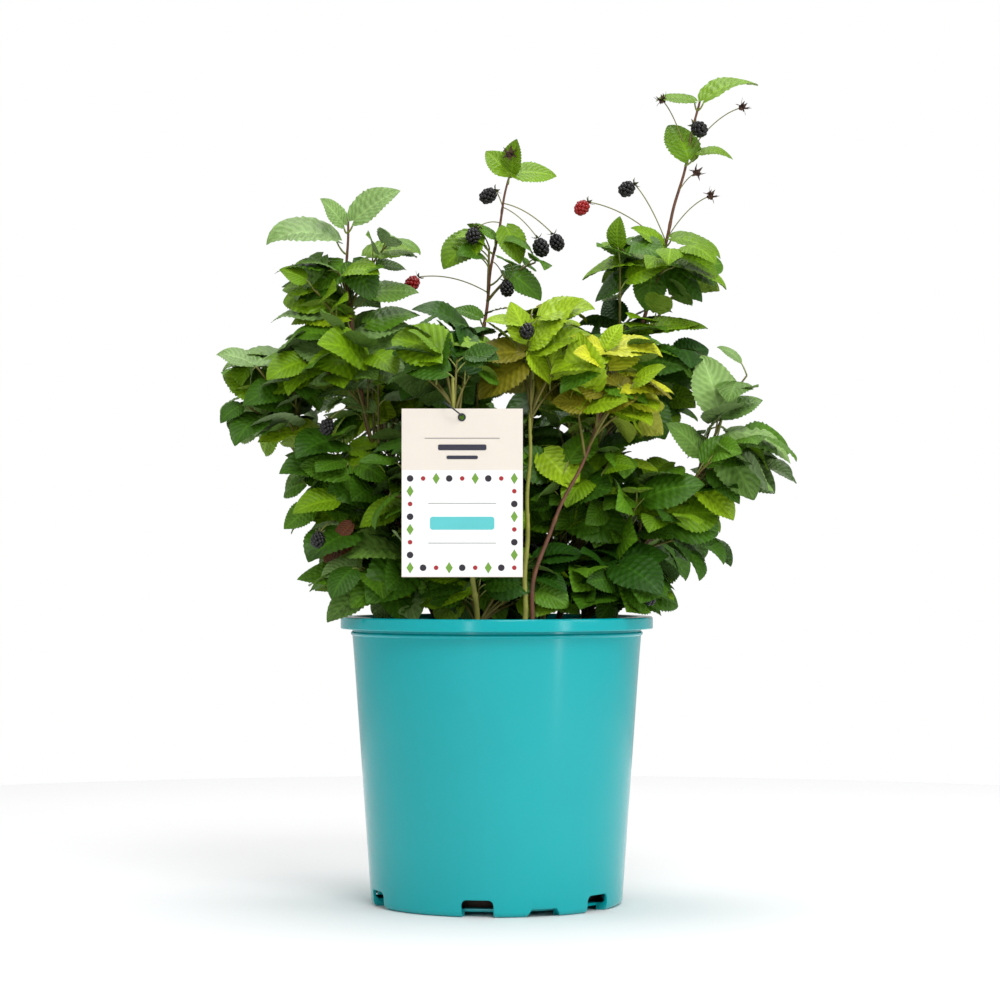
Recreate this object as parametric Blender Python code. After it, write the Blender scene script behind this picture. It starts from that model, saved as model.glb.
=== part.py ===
"""Potted bramble: a moulded nursery pot of potting mix, eleven canes, and the masses of leaves they carry.

Metres, +Z up. The origin is the middle of the pot's flat foot. X runs to the right of the pot's front,
and -Y is the front, where the label hangs.
"""
import math
import random

import bmesh
import bpy
from mathutils import Vector

GAP = 0.0003  # clearance between pieces that touch

# The pot
POT_HEIGHT = 0.2195
RIM_RADIUS = 0.120
RIM_DEPTH = 0.0092
RIM_WALL = 0.0018
WALL = 0.0020
WALL_TOP_RADIUS = 0.1118
WALL_BASE_RADIUS = 0.0962
BEAD_DROP = 0.0128  # from the rim's top down to the middle of the bead under it
BEAD_HEIGHT = 0.0022
BEAD_PROUD = 0.0014
BASE_ROUND = 0.0045
RING_INNER_RADIUS = 0.0875  # the standing ring round the underside
PANEL_RADIUS = 0.0620  # the flat middle of the underside
CHANNEL_RISE = 0.0035
CHANNEL_SLOPE = 0.0040
TURN_STEPS = 36

# The openings moulded through the foot of the pot's wall
WINDOW_COUNT = 6
WINDOW_WIDTH = 0.024
WINDOW_HEIGHT = 0.013
WINDOW_CORNER = 0.004
WINDOW_TURN = math.radians(-68.5)
NOTCH_COUNT = 3
NOTCH_BOTTOM_WIDTH = 0.027
NOTCH_TOP_WIDTH = 0.020
NOTCH_HEIGHT = 0.006
NOTCH_TURN = math.radians(21.5)
CUT_INNER_RADIUS = 0.0868
CUT_OUTER_RADIUS = 0.104
CUT_BELOW = 0.002

# The potting mix
MIX_DROP = 0.0128  # from the rim's top down to the mix
MIX_FOOT_RADIUS = 0.080
MIX_SHOULDER = 0.022

# The label and its tie
LABEL_WIDTH = 0.0884
LABEL_HEIGHT = 0.1229
LABEL_THICKNESS = 0.0006
LABEL_MIDDLE_X = -0.0251
LABEL_Y = -0.1150
LABEL_FOOT = 0.2504
HOLE_X = -0.0254
HOLE_Z = 0.3670
HOLE_RADIUS = 0.0020
TIE_WIRE = 0.0006
TIE_LEAN = math.radians(37)
TIE_POINTS = 16

# Canes
CANE_SIDES = 6
CANE_RINGS = 9

# Each cane: its foot on the mix, then stations as (x, y, z, lean in x, lean in y), then its two radii
CANES = {
    "cane_left": [(-0.042, -0.005, -0.46, 0.0), (-0.114, -0.019, 0.524, 0.05, -0.02), (0.0026, 0.0011)],
    "cane_far_left": [(-0.062, 0.012, -0.25, 0.0), (-0.158, 0.010, 0.362, -0.22, 0.0), (0.0024, 0.0014)],
    "cane_centre": [(-0.004, 0.022, -0.16, 0.0), (0.0115, 0.020, 0.568, 0.24, 0.0), (0.0025, 0.0010)],
    "cane_right": [(0.046, 0.030, 0.22, 0.0), (0.158, 0.022, 0.621, 0.20, 0.0), (0.0027, 0.0011)],
    "cane_front_brown": [(0.0280, -0.086, -0.22, 0.0), (0.0830, -0.066, 0.404, 0.02, 0.0), (0.0019, 0.0012)],
    "cane_front_green": [(0.0205, -0.088, 0.02, 0.1), (0.0270, -0.058, 0.398, 0.05, 0.2), (0.0021, 0.0014)],
    "cane_low_right": [(0.062, -0.008, 0.45, 0.0), (0.164, -0.020, 0.345, 0.40, 0.0), (0.0023, 0.0014)],
    "cane_behind_label": [(-0.014, -0.080, -0.05, -0.1), (-0.0330, -0.1065, 0.396, -0.08, 0.2), (0.0020, 0.0014)],
    "cane_back_left": [(-0.038, 0.055, -0.15, 0.15), (-0.092, 0.096, 0.372, -0.15, 0.1), (0.0024, 0.0014)],
    "cane_back_right": [(0.035, 0.058, 0.10, 0.15), (0.075, 0.102, 0.372, 0.12, 0.1), (0.0024, 0.0014)],
    "cane_back": [(-0.003, 0.083, 0.0, 0.25), (-0.008, 0.128, 0.312, 0.0, 0.2), (0.0022, 0.0014)],
}

# Each mass of leaves: its middle, its half sizes, its lean about Y in degrees, and how finely it is faceted
LARGE = (7, 12)
SMALL = (5, 10)
MASSES = {
    "leaves_left_tip": [(-0.107, -0.020, 0.531), (0.030, 0.026, 0.017), 0, SMALL],
    "leaves_left_top": [(-0.119, -0.020, 0.503), (0.060, 0.052, 0.017), 0, LARGE],
    "leaves_left_upper": [(-0.127, -0.016, 0.470), (0.037, 0.046, 0.022), 0, LARGE],
    "leaves_left_middle": [(-0.116, -0.012, 0.420), (0.060, 0.062, 0.040), 0, LARGE],
    "leaves_far_left": [(-0.172, 0.010, 0.391), (0.041, 0.056, 0.046), 10, LARGE],
    "leaves_left_flank": [(-0.115, 0.000, 0.326), (0.048, 0.070, 0.050), 0, LARGE],
    "leaves_left_foot": [(-0.089, -0.018, 0.256), (0.050, 0.074, 0.042), 0, LARGE],
    "leaves_centre_tip": [(0.018, 0.020, 0.575), (0.030, 0.028, 0.013), 0, SMALL],
    "leaves_centre_side": [(-0.024, 0.018, 0.506), (0.024, 0.018, 0.015), 0, SMALL],
    "leaves_centre_upper": [(0.017, 0.016, 0.492), (0.021, 0.022, 0.030), 0, SMALL],
    "leaves_centre_left": [(-0.036, 0.006, 0.414), (0.044, 0.056, 0.042), 0, LARGE],
    "leaves_core": [(0.000, 0.034, 0.332), (0.066, 0.056, 0.070), 0, LARGE],
    "leaves_front_green": [(0.032, -0.042, 0.424), (0.040, 0.042, 0.046), 0, LARGE],
    "leaves_front_yellow": [(0.084, -0.056, 0.393), (0.044, 0.042, 0.040), 0, LARGE],
    "leaves_front_middle": [(0.066, -0.024, 0.334), (0.066, 0.050, 0.054), 0, LARGE],
    "leaves_right_tip": [(0.162, 0.020, 0.627), (0.040, 0.030, 0.012), -12, SMALL],
    "leaves_right_upper": [(0.160, 0.020, 0.588), (0.026, 0.024, 0.014), 0, SMALL],
    "leaves_right_collar": [(0.120, 0.020, 0.494), (0.055, 0.052, 0.030), 0, LARGE],
    "leaves_right_middle": [(0.117, 0.032, 0.414), (0.052, 0.064, 0.060), 0, LARGE],
    "leaves_far_right_tip": [(0.178, -0.020, 0.401), (0.026, 0.026, 0.023), -10, SMALL],
    "leaves_far_right": [(0.184, -0.018, 0.350), (0.043, 0.044, 0.040), -10, LARGE],
    "leaves_right_flank": [(0.126, 0.002, 0.296), (0.056, 0.068, 0.044), 8, LARGE],
    "leaves_right_foot": [(0.086, -0.024, 0.246), (0.048, 0.064, 0.026), 0, LARGE],
    "leaves_behind_label": [(-0.038, -0.060, 0.318), (0.058, 0.050, 0.058), 0, LARGE],
    "leaves_above_label": [(-0.040, -0.084, 0.411), (0.040, 0.036, 0.031), 0, LARGE],
    "leaves_front_foot": [(0.004, -0.050, 0.246), (0.064, 0.036, 0.026), 0, LARGE],
    "leaves_back_left": [(-0.088, 0.092, 0.404), (0.060, 0.056, 0.056), 0, LARGE],
    "leaves_back_left_low": [(-0.086, 0.088, 0.290), (0.064, 0.062, 0.058), 0, LARGE],
    "leaves_back_right": [(0.072, 0.100, 0.404), (0.060, 0.056, 0.056), 0, LARGE],
    "leaves_back_right_low": [(0.086, 0.090, 0.290), (0.064, 0.062, 0.058), 0, LARGE],
    "leaves_back": [(-0.006, 0.128, 0.344), (0.064, 0.044, 0.060), 0, LARGE],
    "leaves_back_foot": [(0.000, 0.092, 0.252), (0.076, 0.048, 0.034), 0, LARGE],
}
LOBES = 9  # bumps and hollows on one mass
LOBE_DEEPEST = -0.36
LOBE_HIGHEST = 0.30
DIMPLE = (0.92, 1.08)
SEED = 41

COLOURS = {
    "pot": ((0.118, 0.698, 0.714), 0.36),
    "mix": ((0.16, 0.12, 0.09), 0.95),
    "cane": ((0.50, 0.46, 0.24), 0.60),
    "leaf": ((0.36, 0.53, 0.20), 0.60),
    "label": ((0.94, 0.91, 0.87), 0.55),
    "tie": ((0.14, 0.15, 0.16), 0.50),
}


def clear_scene():
    for thing in list(bpy.data.objects):
        bpy.data.objects.remove(thing, do_unlink=True)


def linear(value):
    """A screen colour's value as scene-linear light."""
    return value / 12.92 if value <= 0.04045 else ((value + 0.055) / 1.055) ** 2.4


def painted(obj, key):
    colour, roughness = COLOURS[key]
    material = bpy.data.materials.new(obj.name + "_" + key)
    material.use_nodes = True
    shader = material.node_tree.nodes["Principled BSDF"]
    shader.inputs["Base Color"].default_value = [linear(v) for v in colour] + [1.0]
    shader.inputs["Roughness"].default_value = roughness
    shader.inputs["Metallic"].default_value = 0.0
    obj.data.materials.append(material)
    return obj


def object_from(name, bm, smooth_angle=None):
    bmesh.ops.recalc_face_normals(bm, faces=bm.faces)
    mesh = bpy.data.meshes.new(name)
    bm.to_mesh(mesh)
    bm.free()
    if smooth_angle is not None:
        mesh.shade_smooth()
        mesh.set_sharp_from_angle(angle=math.radians(smooth_angle))
    obj = bpy.data.objects.new(name, mesh)
    bpy.context.collection.objects.link(obj)
    return obj


def as_cutter(obj):
    obj.hide_render = True
    obj.display_type = "WIRE"
    return obj


def cut(obj, cutter):
    modifier = obj.modifiers.new("cut by " + cutter.name, "BOOLEAN")
    modifier.operation = "DIFFERENCE"
    modifier.solver = "EXACT"
    modifier.object = cutter


def turned(name, profile, smooth_angle=35):
    """A body turned about Z from a profile of (radius, height) that starts and ends on the axis."""
    bm = bmesh.new()
    points = [bm.verts.new((r, 0.0, z)) for r, z in profile]
    edges = [bm.edges.new(pair) for pair in zip(points, points[1:])]
    bmesh.ops.spin(bm, geom=points + edges, cent=(0, 0, 0), axis=(0, 0, 1), angle=math.tau,
                   steps=TURN_STEPS, use_merge=True, use_duplicate=False)
    bmesh.ops.remove_doubles(bm, verts=bm.verts, dist=1e-6)
    return object_from(name, bm, smooth_angle)


def arc(middle, radius, start, end, steps):
    """Points on an arc, angles in degrees."""
    turns = [math.radians(start + (end - start) * i / steps) for i in range(steps + 1)]
    return [(middle[0] + radius * math.cos(a), middle[1] + radius * math.sin(a)) for a in turns]


def wall_radius(z):
    """The pot's outer radius where its wall tapers."""
    return WALL_BASE_RADIUS + (WALL_TOP_RADIUS - WALL_BASE_RADIUS) * z / POT_HEIGHT


def pot_profile():
    """The pot's section, from the middle of the floor's top, out and up, over the rim and down to the foot."""
    floor = CHANNEL_RISE + WALL
    rim_low = POT_HEIGHT - RIM_DEPTH
    neck = POT_HEIGHT - 0.0025
    bead = POT_HEIGHT - BEAD_DROP
    inner_base = wall_radius(floor) - WALL
    inside = [(0.0, WALL), (PANEL_RADIUS - WALL, WALL), (PANEL_RADIUS + CHANNEL_SLOPE - WALL, floor),
              (inner_base - 0.002, floor), (inner_base, floor + 0.002),
              (wall_radius(POT_HEIGHT) - WALL, POT_HEIGHT - 0.0008), (wall_radius(POT_HEIGHT) - 0.001, POT_HEIGHT)]
    rim = [(RIM_RADIUS - 0.0016, POT_HEIGHT), (RIM_RADIUS - 0.0004, POT_HEIGHT - 0.0005),
           (RIM_RADIUS, POT_HEIGHT - 0.0016), (RIM_RADIUS, rim_low + 0.0006), (RIM_RADIUS - 0.0006, rim_low),
           (RIM_RADIUS - RIM_WALL, rim_low), (RIM_RADIUS - RIM_WALL, neck), (wall_radius(neck), neck)]
    bead_low = bead - BEAD_HEIGHT / 2
    bead_high = bead + BEAD_HEIGHT / 2
    ridge = [(wall_radius(bead_high), bead_high + 0.0008), (wall_radius(bead_high) + BEAD_PROUD, bead_high),
             (wall_radius(bead_low) + BEAD_PROUD, bead_low), (wall_radius(bead_low), bead_low - 0.0008)]
    foot = arc((wall_radius(BASE_ROUND) - BASE_ROUND, BASE_ROUND), BASE_ROUND, 0, -90, 3)
    under = [(RING_INNER_RADIUS, 0.0), (RING_INNER_RADIUS, CHANNEL_RISE),
             (PANEL_RADIUS + CHANNEL_SLOPE, CHANNEL_RISE), (PANEL_RADIUS, 0.0), (0.0, 0.0)]
    return inside + rim + ridge + foot + under


def radial_prism(name, outline, turn):
    """A cutter: an outline across the wall at the given turn from the front, run out along the radius."""
    bm = bmesh.new()
    out = Vector((math.sin(turn), -math.cos(turn), 0.0))
    side = Vector((math.cos(turn), math.sin(turn), 0.0))
    near = [bm.verts.new(out * CUT_INNER_RADIUS + side * u + Vector((0, 0, z))) for u, z in outline]
    face = bm.faces.new(near)
    run = bmesh.ops.extrude_face_region(bm, geom=[face])
    moved = [v for v in run["geom"] if isinstance(v, bmesh.types.BMVert)]
    bmesh.ops.translate(bm, verts=moved, vec=out * (CUT_OUTER_RADIUS - CUT_INNER_RADIUS))
    return as_cutter(object_from(name, bm))


def window_outline():
    half = WINDOW_WIDTH / 2
    corner = (half - WINDOW_CORNER, WINDOW_HEIGHT - WINDOW_CORNER)
    right = arc(corner, WINDOW_CORNER, 0, 90, 3)
    left = [(-u, z) for u, z in reversed(right)]
    return [(-half, -CUT_BELOW), (half, -CUT_BELOW)] + right + left


def notch_outline():
    low = NOTCH_BOTTOM_WIDTH / 2
    high = NOTCH_TOP_WIDTH / 2
    spread = low + (low - high) * CUT_BELOW / NOTCH_HEIGHT
    return [(-spread, -CUT_BELOW), (spread, -CUT_BELOW), (high, NOTCH_HEIGHT), (-high, NOTCH_HEIGHT)]


def make_pot():
    pot = painted(turned("pot", pot_profile()), "pot")
    for i in range(WINDOW_COUNT):
        cut(pot, radial_prism(f"window_cutter_{i}", window_outline(), WINDOW_TURN + i * math.tau / WINDOW_COUNT))
    for i in range(NOTCH_COUNT):
        cut(pot, radial_prism(f"notch_cutter_{i}", notch_outline(), NOTCH_TURN + i * math.tau / NOTCH_COUNT))
    return pot


def mix_top():
    return POT_HEIGHT - MIX_DROP


def make_mix():
    floor = CHANNEL_RISE + WALL + GAP
    inset = WALL + GAP
    profile = [(0.0, mix_top()), (wall_radius(mix_top()) - inset - 0.0001, mix_top()),
               (wall_radius(MIX_SHOULDER) - inset - 0.0001, MIX_SHOULDER), (MIX_FOOT_RADIUS, floor), (0.0, floor)]
    return painted(turned("potting_mix", profile), "mix")


def make_label():
    """The card, with a hole punched near its top edge for the tie."""
    bm = bmesh.new()
    bmesh.ops.create_cube(bm, size=1.0)
    bmesh.ops.scale(bm, vec=(LABEL_WIDTH, LABEL_THICKNESS, LABEL_HEIGHT), verts=bm.verts)
    bmesh.ops.translate(bm, vec=(LABEL_MIDDLE_X, LABEL_Y, LABEL_FOOT + LABEL_HEIGHT / 2), verts=bm.verts)
    label = painted(object_from("plant_label", bm), "label")
    bm = bmesh.new()
    bmesh.ops.create_cone(bm, cap_ends=True, segments=12, radius1=HOLE_RADIUS, radius2=HOLE_RADIUS, depth=0.01)
    punch = as_cutter(object_from("label_punch", bm))
    punch.location = (HOLE_X, LABEL_Y, HOLE_Z)
    punch.rotation_euler = (math.pi / 2, 0.0, 0.0)
    cut(label, punch)
    return label


def make_tie(cane):
    """A ring of thin wire under the top of the label's hole and round the cane behind it, on the cane's back."""
    hole = Vector((HOLE_X, LABEL_Y, HOLE_Z + HOLE_RADIUS - TIE_WIRE - GAP))
    across = Vector((-math.cos(TIE_LEAN), 0.0, math.sin(TIE_LEAN)))
    back = Vector((0.0, 1.0, 0.0))
    normal = back.cross(across)
    for (low, radius), (high, _) in zip(cane, cane[1:]):
        before = (low - hole).dot(normal)
        after = (high - hole).dot(normal)
        if before * after <= 0:
            crossing = low.lerp(high, before / (before - after)) - hole
            break
    u = crossing.dot(across)
    v = crossing.dot(back)
    clear = 1.1 * radius + TIE_WIRE + GAP
    ring = (u * u + v * v - clear * clear) / (2 * (u - clear))
    curve = bpy.data.curves.new("label_tie", "CURVE")
    curve.dimensions = "3D"
    curve.bevel_depth = TIE_WIRE
    curve.bevel_resolution = 0
    spline = curve.splines.new("POLY")
    spline.points.add(TIE_POINTS - 1)
    for i, point in enumerate(spline.points):
        turn = math.tau * i / TIE_POINTS
        place = hole + across * ring + ring * (across * math.cos(turn) + back * math.sin(turn))
        point.co = (*place, 1.0)
    spline.use_cyclic_u = True
    tie = bpy.data.objects.new("label_tie", curve)
    bpy.context.collection.objects.link(tie)
    return painted(tie, "tie")


def cane_points(spec, rings):
    """A cane's middle line from its foot to its tip: a smooth bow between its two leans, and each radius."""
    (x0, y0, lean_x0, lean_y0), (x1, y1, z1, lean_x1, lean_y1), (r0, r1) = spec
    start = Vector((x0, y0, mix_top() + GAP))
    end = Vector((x1, y1, z1))
    reach = (end - start).length
    out = Vector((lean_x0, lean_y0, 1.0)) * reach
    arrive = Vector((lean_x1, lean_y1, 1.0)) * reach
    points = []
    for i in range(rings):
        t = i / (rings - 1)
        along = start * (2 * t**3 - 3 * t**2 + 1) + end * (3 * t**2 - 2 * t**3)
        along += out * (t**3 - 2 * t**2 + t) + arrive * (t**3 - t**2)
        points.append((along, r0 + (r1 - r0) * t))
    return points


def limb(name, points, grow=0.0):
    """A tapering limb with a level cut at its foot. grow fattens and lengthens it, for a cutter."""
    bm = bmesh.new()
    rings = []
    last = len(points) - 1
    for i, (middle, radius) in enumerate(points):
        along = points[min(i + 1, last)][0] - points[max(i - 1, 0)][0]
        along = Vector((0, 0, 1)) if i == 0 else along.normalized()
        if i == last:
            middle = middle + along * grow
        side = Vector((0, 1, 0)).cross(along).normalized()
        front = along.cross(side)
        ring = []
        for k in range(CANE_SIDES):
            turn = math.tau * k / CANE_SIDES
            ring.append(bm.verts.new(middle + (radius + grow) * (side * math.cos(turn) + front * math.sin(turn))))
        rings.append(ring)
    for low, high in zip(rings, rings[1:]):
        for k in range(CANE_SIDES):
            n = (k + 1) % CANE_SIDES
            bm.faces.new((low[k], low[n], high[n], high[k]))
    bm.faces.new(rings[0])
    bm.faces.new(rings[-1])
    bmesh.ops.triangulate(bm, faces=bm.faces)
    return object_from(name, bm, 50)


def walls_of(name):
    """The flat limits round a mass, as (outward direction, distance): the rim, the label, and each neighbour."""
    middle = Vector(MASSES[name][0])
    half = MASSES[name][1]
    walls = [(Vector((0, 0, -1)), middle.z - POT_HEIGHT - GAP),
             (Vector((0, -1, 0)), middle.y - LABEL_Y - LABEL_THICKNESS - GAP)]
    for other, (centre, size, _, _) in MASSES.items():
        if other == name:
            continue
        between = Vector(centre) - middle
        distance = between.length
        n = between / distance
        own = math.sqrt(sum((half[k] * n[k]) ** 2 for k in range(3)))
        theirs = math.sqrt(sum((size[k] * n[k]) ** 2 for k in range(3)))
        walls.append((n, distance * own / (own + theirs) - GAP / 2))
    return walls


def make_mass(name, seed):
    """A closed, uneven lump: a ball with seeded lobes, fitted to its half sizes and kept inside its walls."""
    middle, half, lean, (rings, segments) = MASSES[name]
    rng = random.Random(seed)
    lobes = []
    for _ in range(LOBES):
        pull = Vector((rng.gauss(0, 1), rng.gauss(0, 1), rng.gauss(0, 1))).normalized()
        lobes.append((pull, rng.uniform(LOBE_DEEPEST, LOBE_HIGHEST), rng.uniform(3.0, 8.0)))
    points = []
    for i in range(rings + 1):
        level = math.pi * i / rings
        count = 1 if i in (0, rings) else segments
        for k in range(count):
            turn = math.tau * (k + 0.5 * (i % 2)) / segments
            d = Vector((math.sin(level) * math.cos(turn), math.sin(level) * math.sin(turn), -math.cos(level)))
            swell = 1.0 + sum(weight * math.exp(sharp * (d.dot(pull) - 1.0)) for pull, weight, sharp in lobes)
            points.append(d * swell * rng.uniform(*DIMPLE))
    slope = math.radians(lean)
    fitted = []
    for p in points:
        fitted.append(Vector((half[0] * p.x + half[2] * math.tan(slope) * p.z, half[1] * p.y, half[2] * p.z)))
    lows = [min(p[k] for p in fitted) for k in range(3)]
    highs = [max(p[k] for p in fitted) for k in range(3)]
    bm = bmesh.new()
    verts = []
    for p in fitted:
        v = Vector([(p[k] - (lows[k] + highs[k]) / 2) * 2 * half[k] / (highs[k] - lows[k]) for k in range(3)])
        for n, limit in walls_of(name):
            reach = v.dot(n)
            if reach > limit:
                v *= limit / reach
        verts.append(bm.verts.new(Vector(middle) + v))
    rows = [[verts[0]] * segments]
    for i in range(1, rings):
        first = 1 + (i - 1) * segments
        rows.append(verts[first:first + segments])
    rows.append([verts[-1]] * segments)
    for i, (low, high) in enumerate(zip(rows, rows[1:])):
        shift = i % 2
        for k in range(segments):
            n = (k + 1) % segments
            if shift:
                corners = [(low[k], low[n], high[n]), (low[k], high[n], high[k])]
            else:
                corners = [(low[k], low[n], high[k]), (low[n], high[n], high[k])]
            for face in corners:
                if len(set(face)) == 3:
                    bm.faces.new(face)
    return painted(object_from(name, bm), "leaf")


def passes_through(points, name):
    """Whether a cane comes within its own thickness of a mass's box."""
    middle, half, _, _ = MASSES[name]
    spare = 0.004
    dense = []
    for (a, _), (b, _) in zip(points, points[1:]):
        dense += [a.lerp(b, i / 8) for i in range(9)]
    return any(all(abs(p[k] - middle[k]) < half[k] + spare for k in range(3)) for p in dense)


def build():
    clear_scene()
    make_pot()
    make_mix()
    make_label()
    make_tie(cane_points(CANES["cane_behind_label"], CANE_RINGS))
    masses = {name: make_mass(name, SEED + i) for i, name in enumerate(MASSES)}
    for name, spec in CANES.items():
        points = cane_points(spec, CANE_RINGS)
        painted(limb(name, points), "cane")
        cutter = as_cutter(limb(name + "_cutter", points, GAP))
        for mass_name, mass in masses.items():
            if passes_through(points, mass_name):
                cut(mass, cutter)


build()
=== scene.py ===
import math
import random

import bmesh
import bpy
import numpy as np
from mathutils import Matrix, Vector


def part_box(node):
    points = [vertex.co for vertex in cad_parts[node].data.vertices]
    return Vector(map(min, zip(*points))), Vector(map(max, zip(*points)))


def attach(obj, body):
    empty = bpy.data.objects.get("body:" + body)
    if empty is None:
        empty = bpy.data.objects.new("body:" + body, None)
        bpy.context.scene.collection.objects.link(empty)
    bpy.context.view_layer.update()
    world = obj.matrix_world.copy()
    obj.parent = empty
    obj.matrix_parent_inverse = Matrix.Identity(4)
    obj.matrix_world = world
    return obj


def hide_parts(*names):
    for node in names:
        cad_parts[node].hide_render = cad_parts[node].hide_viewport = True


bl_info = {
    "name": "Potted Bramble",
    "version": (1, 0, 0),
    "blender": (4, 5, 0),
    "location": "View3D > Sidebar > Bramble",
    "description": "Builds a bramble bush in a nursery pot with its canes, leaves, berries and label",
    "category": "Object",
}

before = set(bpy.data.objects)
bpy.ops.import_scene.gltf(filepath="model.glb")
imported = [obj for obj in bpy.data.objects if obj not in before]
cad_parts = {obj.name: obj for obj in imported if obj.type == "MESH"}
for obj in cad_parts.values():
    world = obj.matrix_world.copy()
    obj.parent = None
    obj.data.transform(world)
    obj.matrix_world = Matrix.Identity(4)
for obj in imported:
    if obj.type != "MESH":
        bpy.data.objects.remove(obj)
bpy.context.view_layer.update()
BODY = "root"

# The camera that took the photograph, and its picture
PHOTO_SIDE = 1000
CAMERA_DISTANCE = 2.151
EYE_HEIGHT = 0.264
AIM_HEIGHT = 0.309
FLOOR_RADIUS = 1.25
PIXELS_PER_METRE = 1298.0
AXIS_COLUMN = 496.8
HORIZON_ROW = 558.3
SENSOR = 36.0

# The pot's section, the same as the frame's
POT_HEIGHT = 0.2195
RIM_RADIUS = 0.120
RIM_DEPTH = 0.0092
RIM_WALL = 0.0018
WALL = 0.0020
WALL_TOP_RADIUS = 0.1118
WALL_BASE_RADIUS = 0.0962
BEAD_DROP = 0.0128
BEAD_HEIGHT = 0.0022
BEAD_PROUD = 0.0014
BASE_ROUND = 0.0045
RING_INNER_RADIUS = 0.0875
PANEL_RADIUS = 0.0620
CHANNEL_RISE = 0.0035
CHANNEL_SLOPE = 0.0040
POT_STEPS = 180
WALL_LEVELS = (0.180, 0.150, 0.115, 0.080, 0.050, 0.030, 0.020, 0.0145)
WINDOW_COUNT = 6
WINDOW_WIDTH = 0.024
WINDOW_HEIGHT = 0.013
WINDOW_CORNER = 0.004
WINDOW_TURN = math.radians(-68.5)
NOTCH_COUNT = 3
NOTCH_BOTTOM_WIDTH = 0.027
NOTCH_TOP_WIDTH = 0.020
NOTCH_HEIGHT = 0.006
NOTCH_TURN = math.radians(21.5)
CUT_INNER_RADIUS = 0.0868
CUT_OUTER_RADIUS = 0.104
CUT_BELOW = 0.002
MOULDED_EDGE = 0.0004
SCUFFS = [(0.3, (0.14, 0.14, 0.14, 1)), (0.75, (0.24, 0.24, 0.24, 1))]
MIX_TOP = POT_HEIGHT - 0.0128
MIX_RINGS = 46
MIX_SEGMENTS = 150
MIX_GAP = 0.0004
CHIPS = 900
GAP = 0.0003

# Where no leaf may go: through the pot's rim, and in front of the label
RIM_INSIDE = 0.107
RIM_CLEARANCE = 0.004
LABEL_EDGES = (-0.073, 0.023)
LABEL_ENDS = (0.246, 0.377)
LABEL_BACK = -0.108

# The canes' routes, the same as the frame's: foot and first lean, tip and last lean, two radii
CANES = {
    "cane_left": [(-0.042, -0.005, -0.46, 0.0), (-0.114, -0.019, 0.524, 0.05, -0.02), (0.0026, 0.0011)],
    "cane_far_left": [(-0.062, 0.012, -0.25, 0.0), (-0.158, 0.010, 0.362, -0.22, 0.0), (0.0024, 0.0014)],
    "cane_centre": [(-0.004, 0.022, -0.16, 0.0), (0.0115, 0.020, 0.568, 0.24, 0.0), (0.0025, 0.0010)],
    "cane_right": [(0.046, 0.030, 0.22, 0.0), (0.158, 0.022, 0.621, 0.20, 0.0), (0.0027, 0.0011)],
    "cane_front_brown": [(0.028, -0.086, -0.22, 0.0), (0.083, -0.066, 0.404, 0.02, 0.0), (0.0019, 0.0012)],
    "cane_front_green": [(0.0205, -0.088, 0.02, 0.1), (0.0270, -0.058, 0.398, 0.05, 0.2), (0.0021, 0.0014)],
    "cane_low_right": [(0.062, -0.008, 0.45, 0.0), (0.164, -0.020, 0.345, 0.40, 0.0), (0.0023, 0.0014)],
    "cane_behind_label": [(-0.014, -0.080, -0.05, -0.1), (-0.033, -0.1065, 0.396, -0.08, 0.2),
                          (0.0020, 0.0014)],
    "cane_back_left": [(-0.038, 0.055, -0.15, 0.15), (-0.092, 0.096, 0.372, -0.15, 0.1), (0.0024, 0.0014)],
    "cane_back_right": [(0.035, 0.058, 0.10, 0.15), (0.075, 0.102, 0.372, 0.12, 0.1), (0.0024, 0.0014)],
    "cane_back": [(-0.003, 0.083, 0.0, 0.25), (-0.008, 0.128, 0.312, 0.0, 0.2), (0.0022, 0.0014)],
}
BROWN_CANES = ("cane_front_brown", "cane_right", "cane_left", "cane_centre", "cane_low_right",
               "cane_back_left")
# Each bark's colour, and the shares of it that the mottling runs between
BARKS = {"brown": ((0.38, 0.235, 0.15), 0.55, 1.35), "green": ((0.55, 0.56, 0.22), 0.70, 1.20)}
CANE_STEPS = 110
CANE_SIDES = 12
CANE_TAPER = 0.22
JOINT_SPACING = 0.030
JOINT_SWELL = 0.30
ZIGZAG = Vector((1, 0.6, 0)) * 0.0007
BARK_RIDGES = 5

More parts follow.
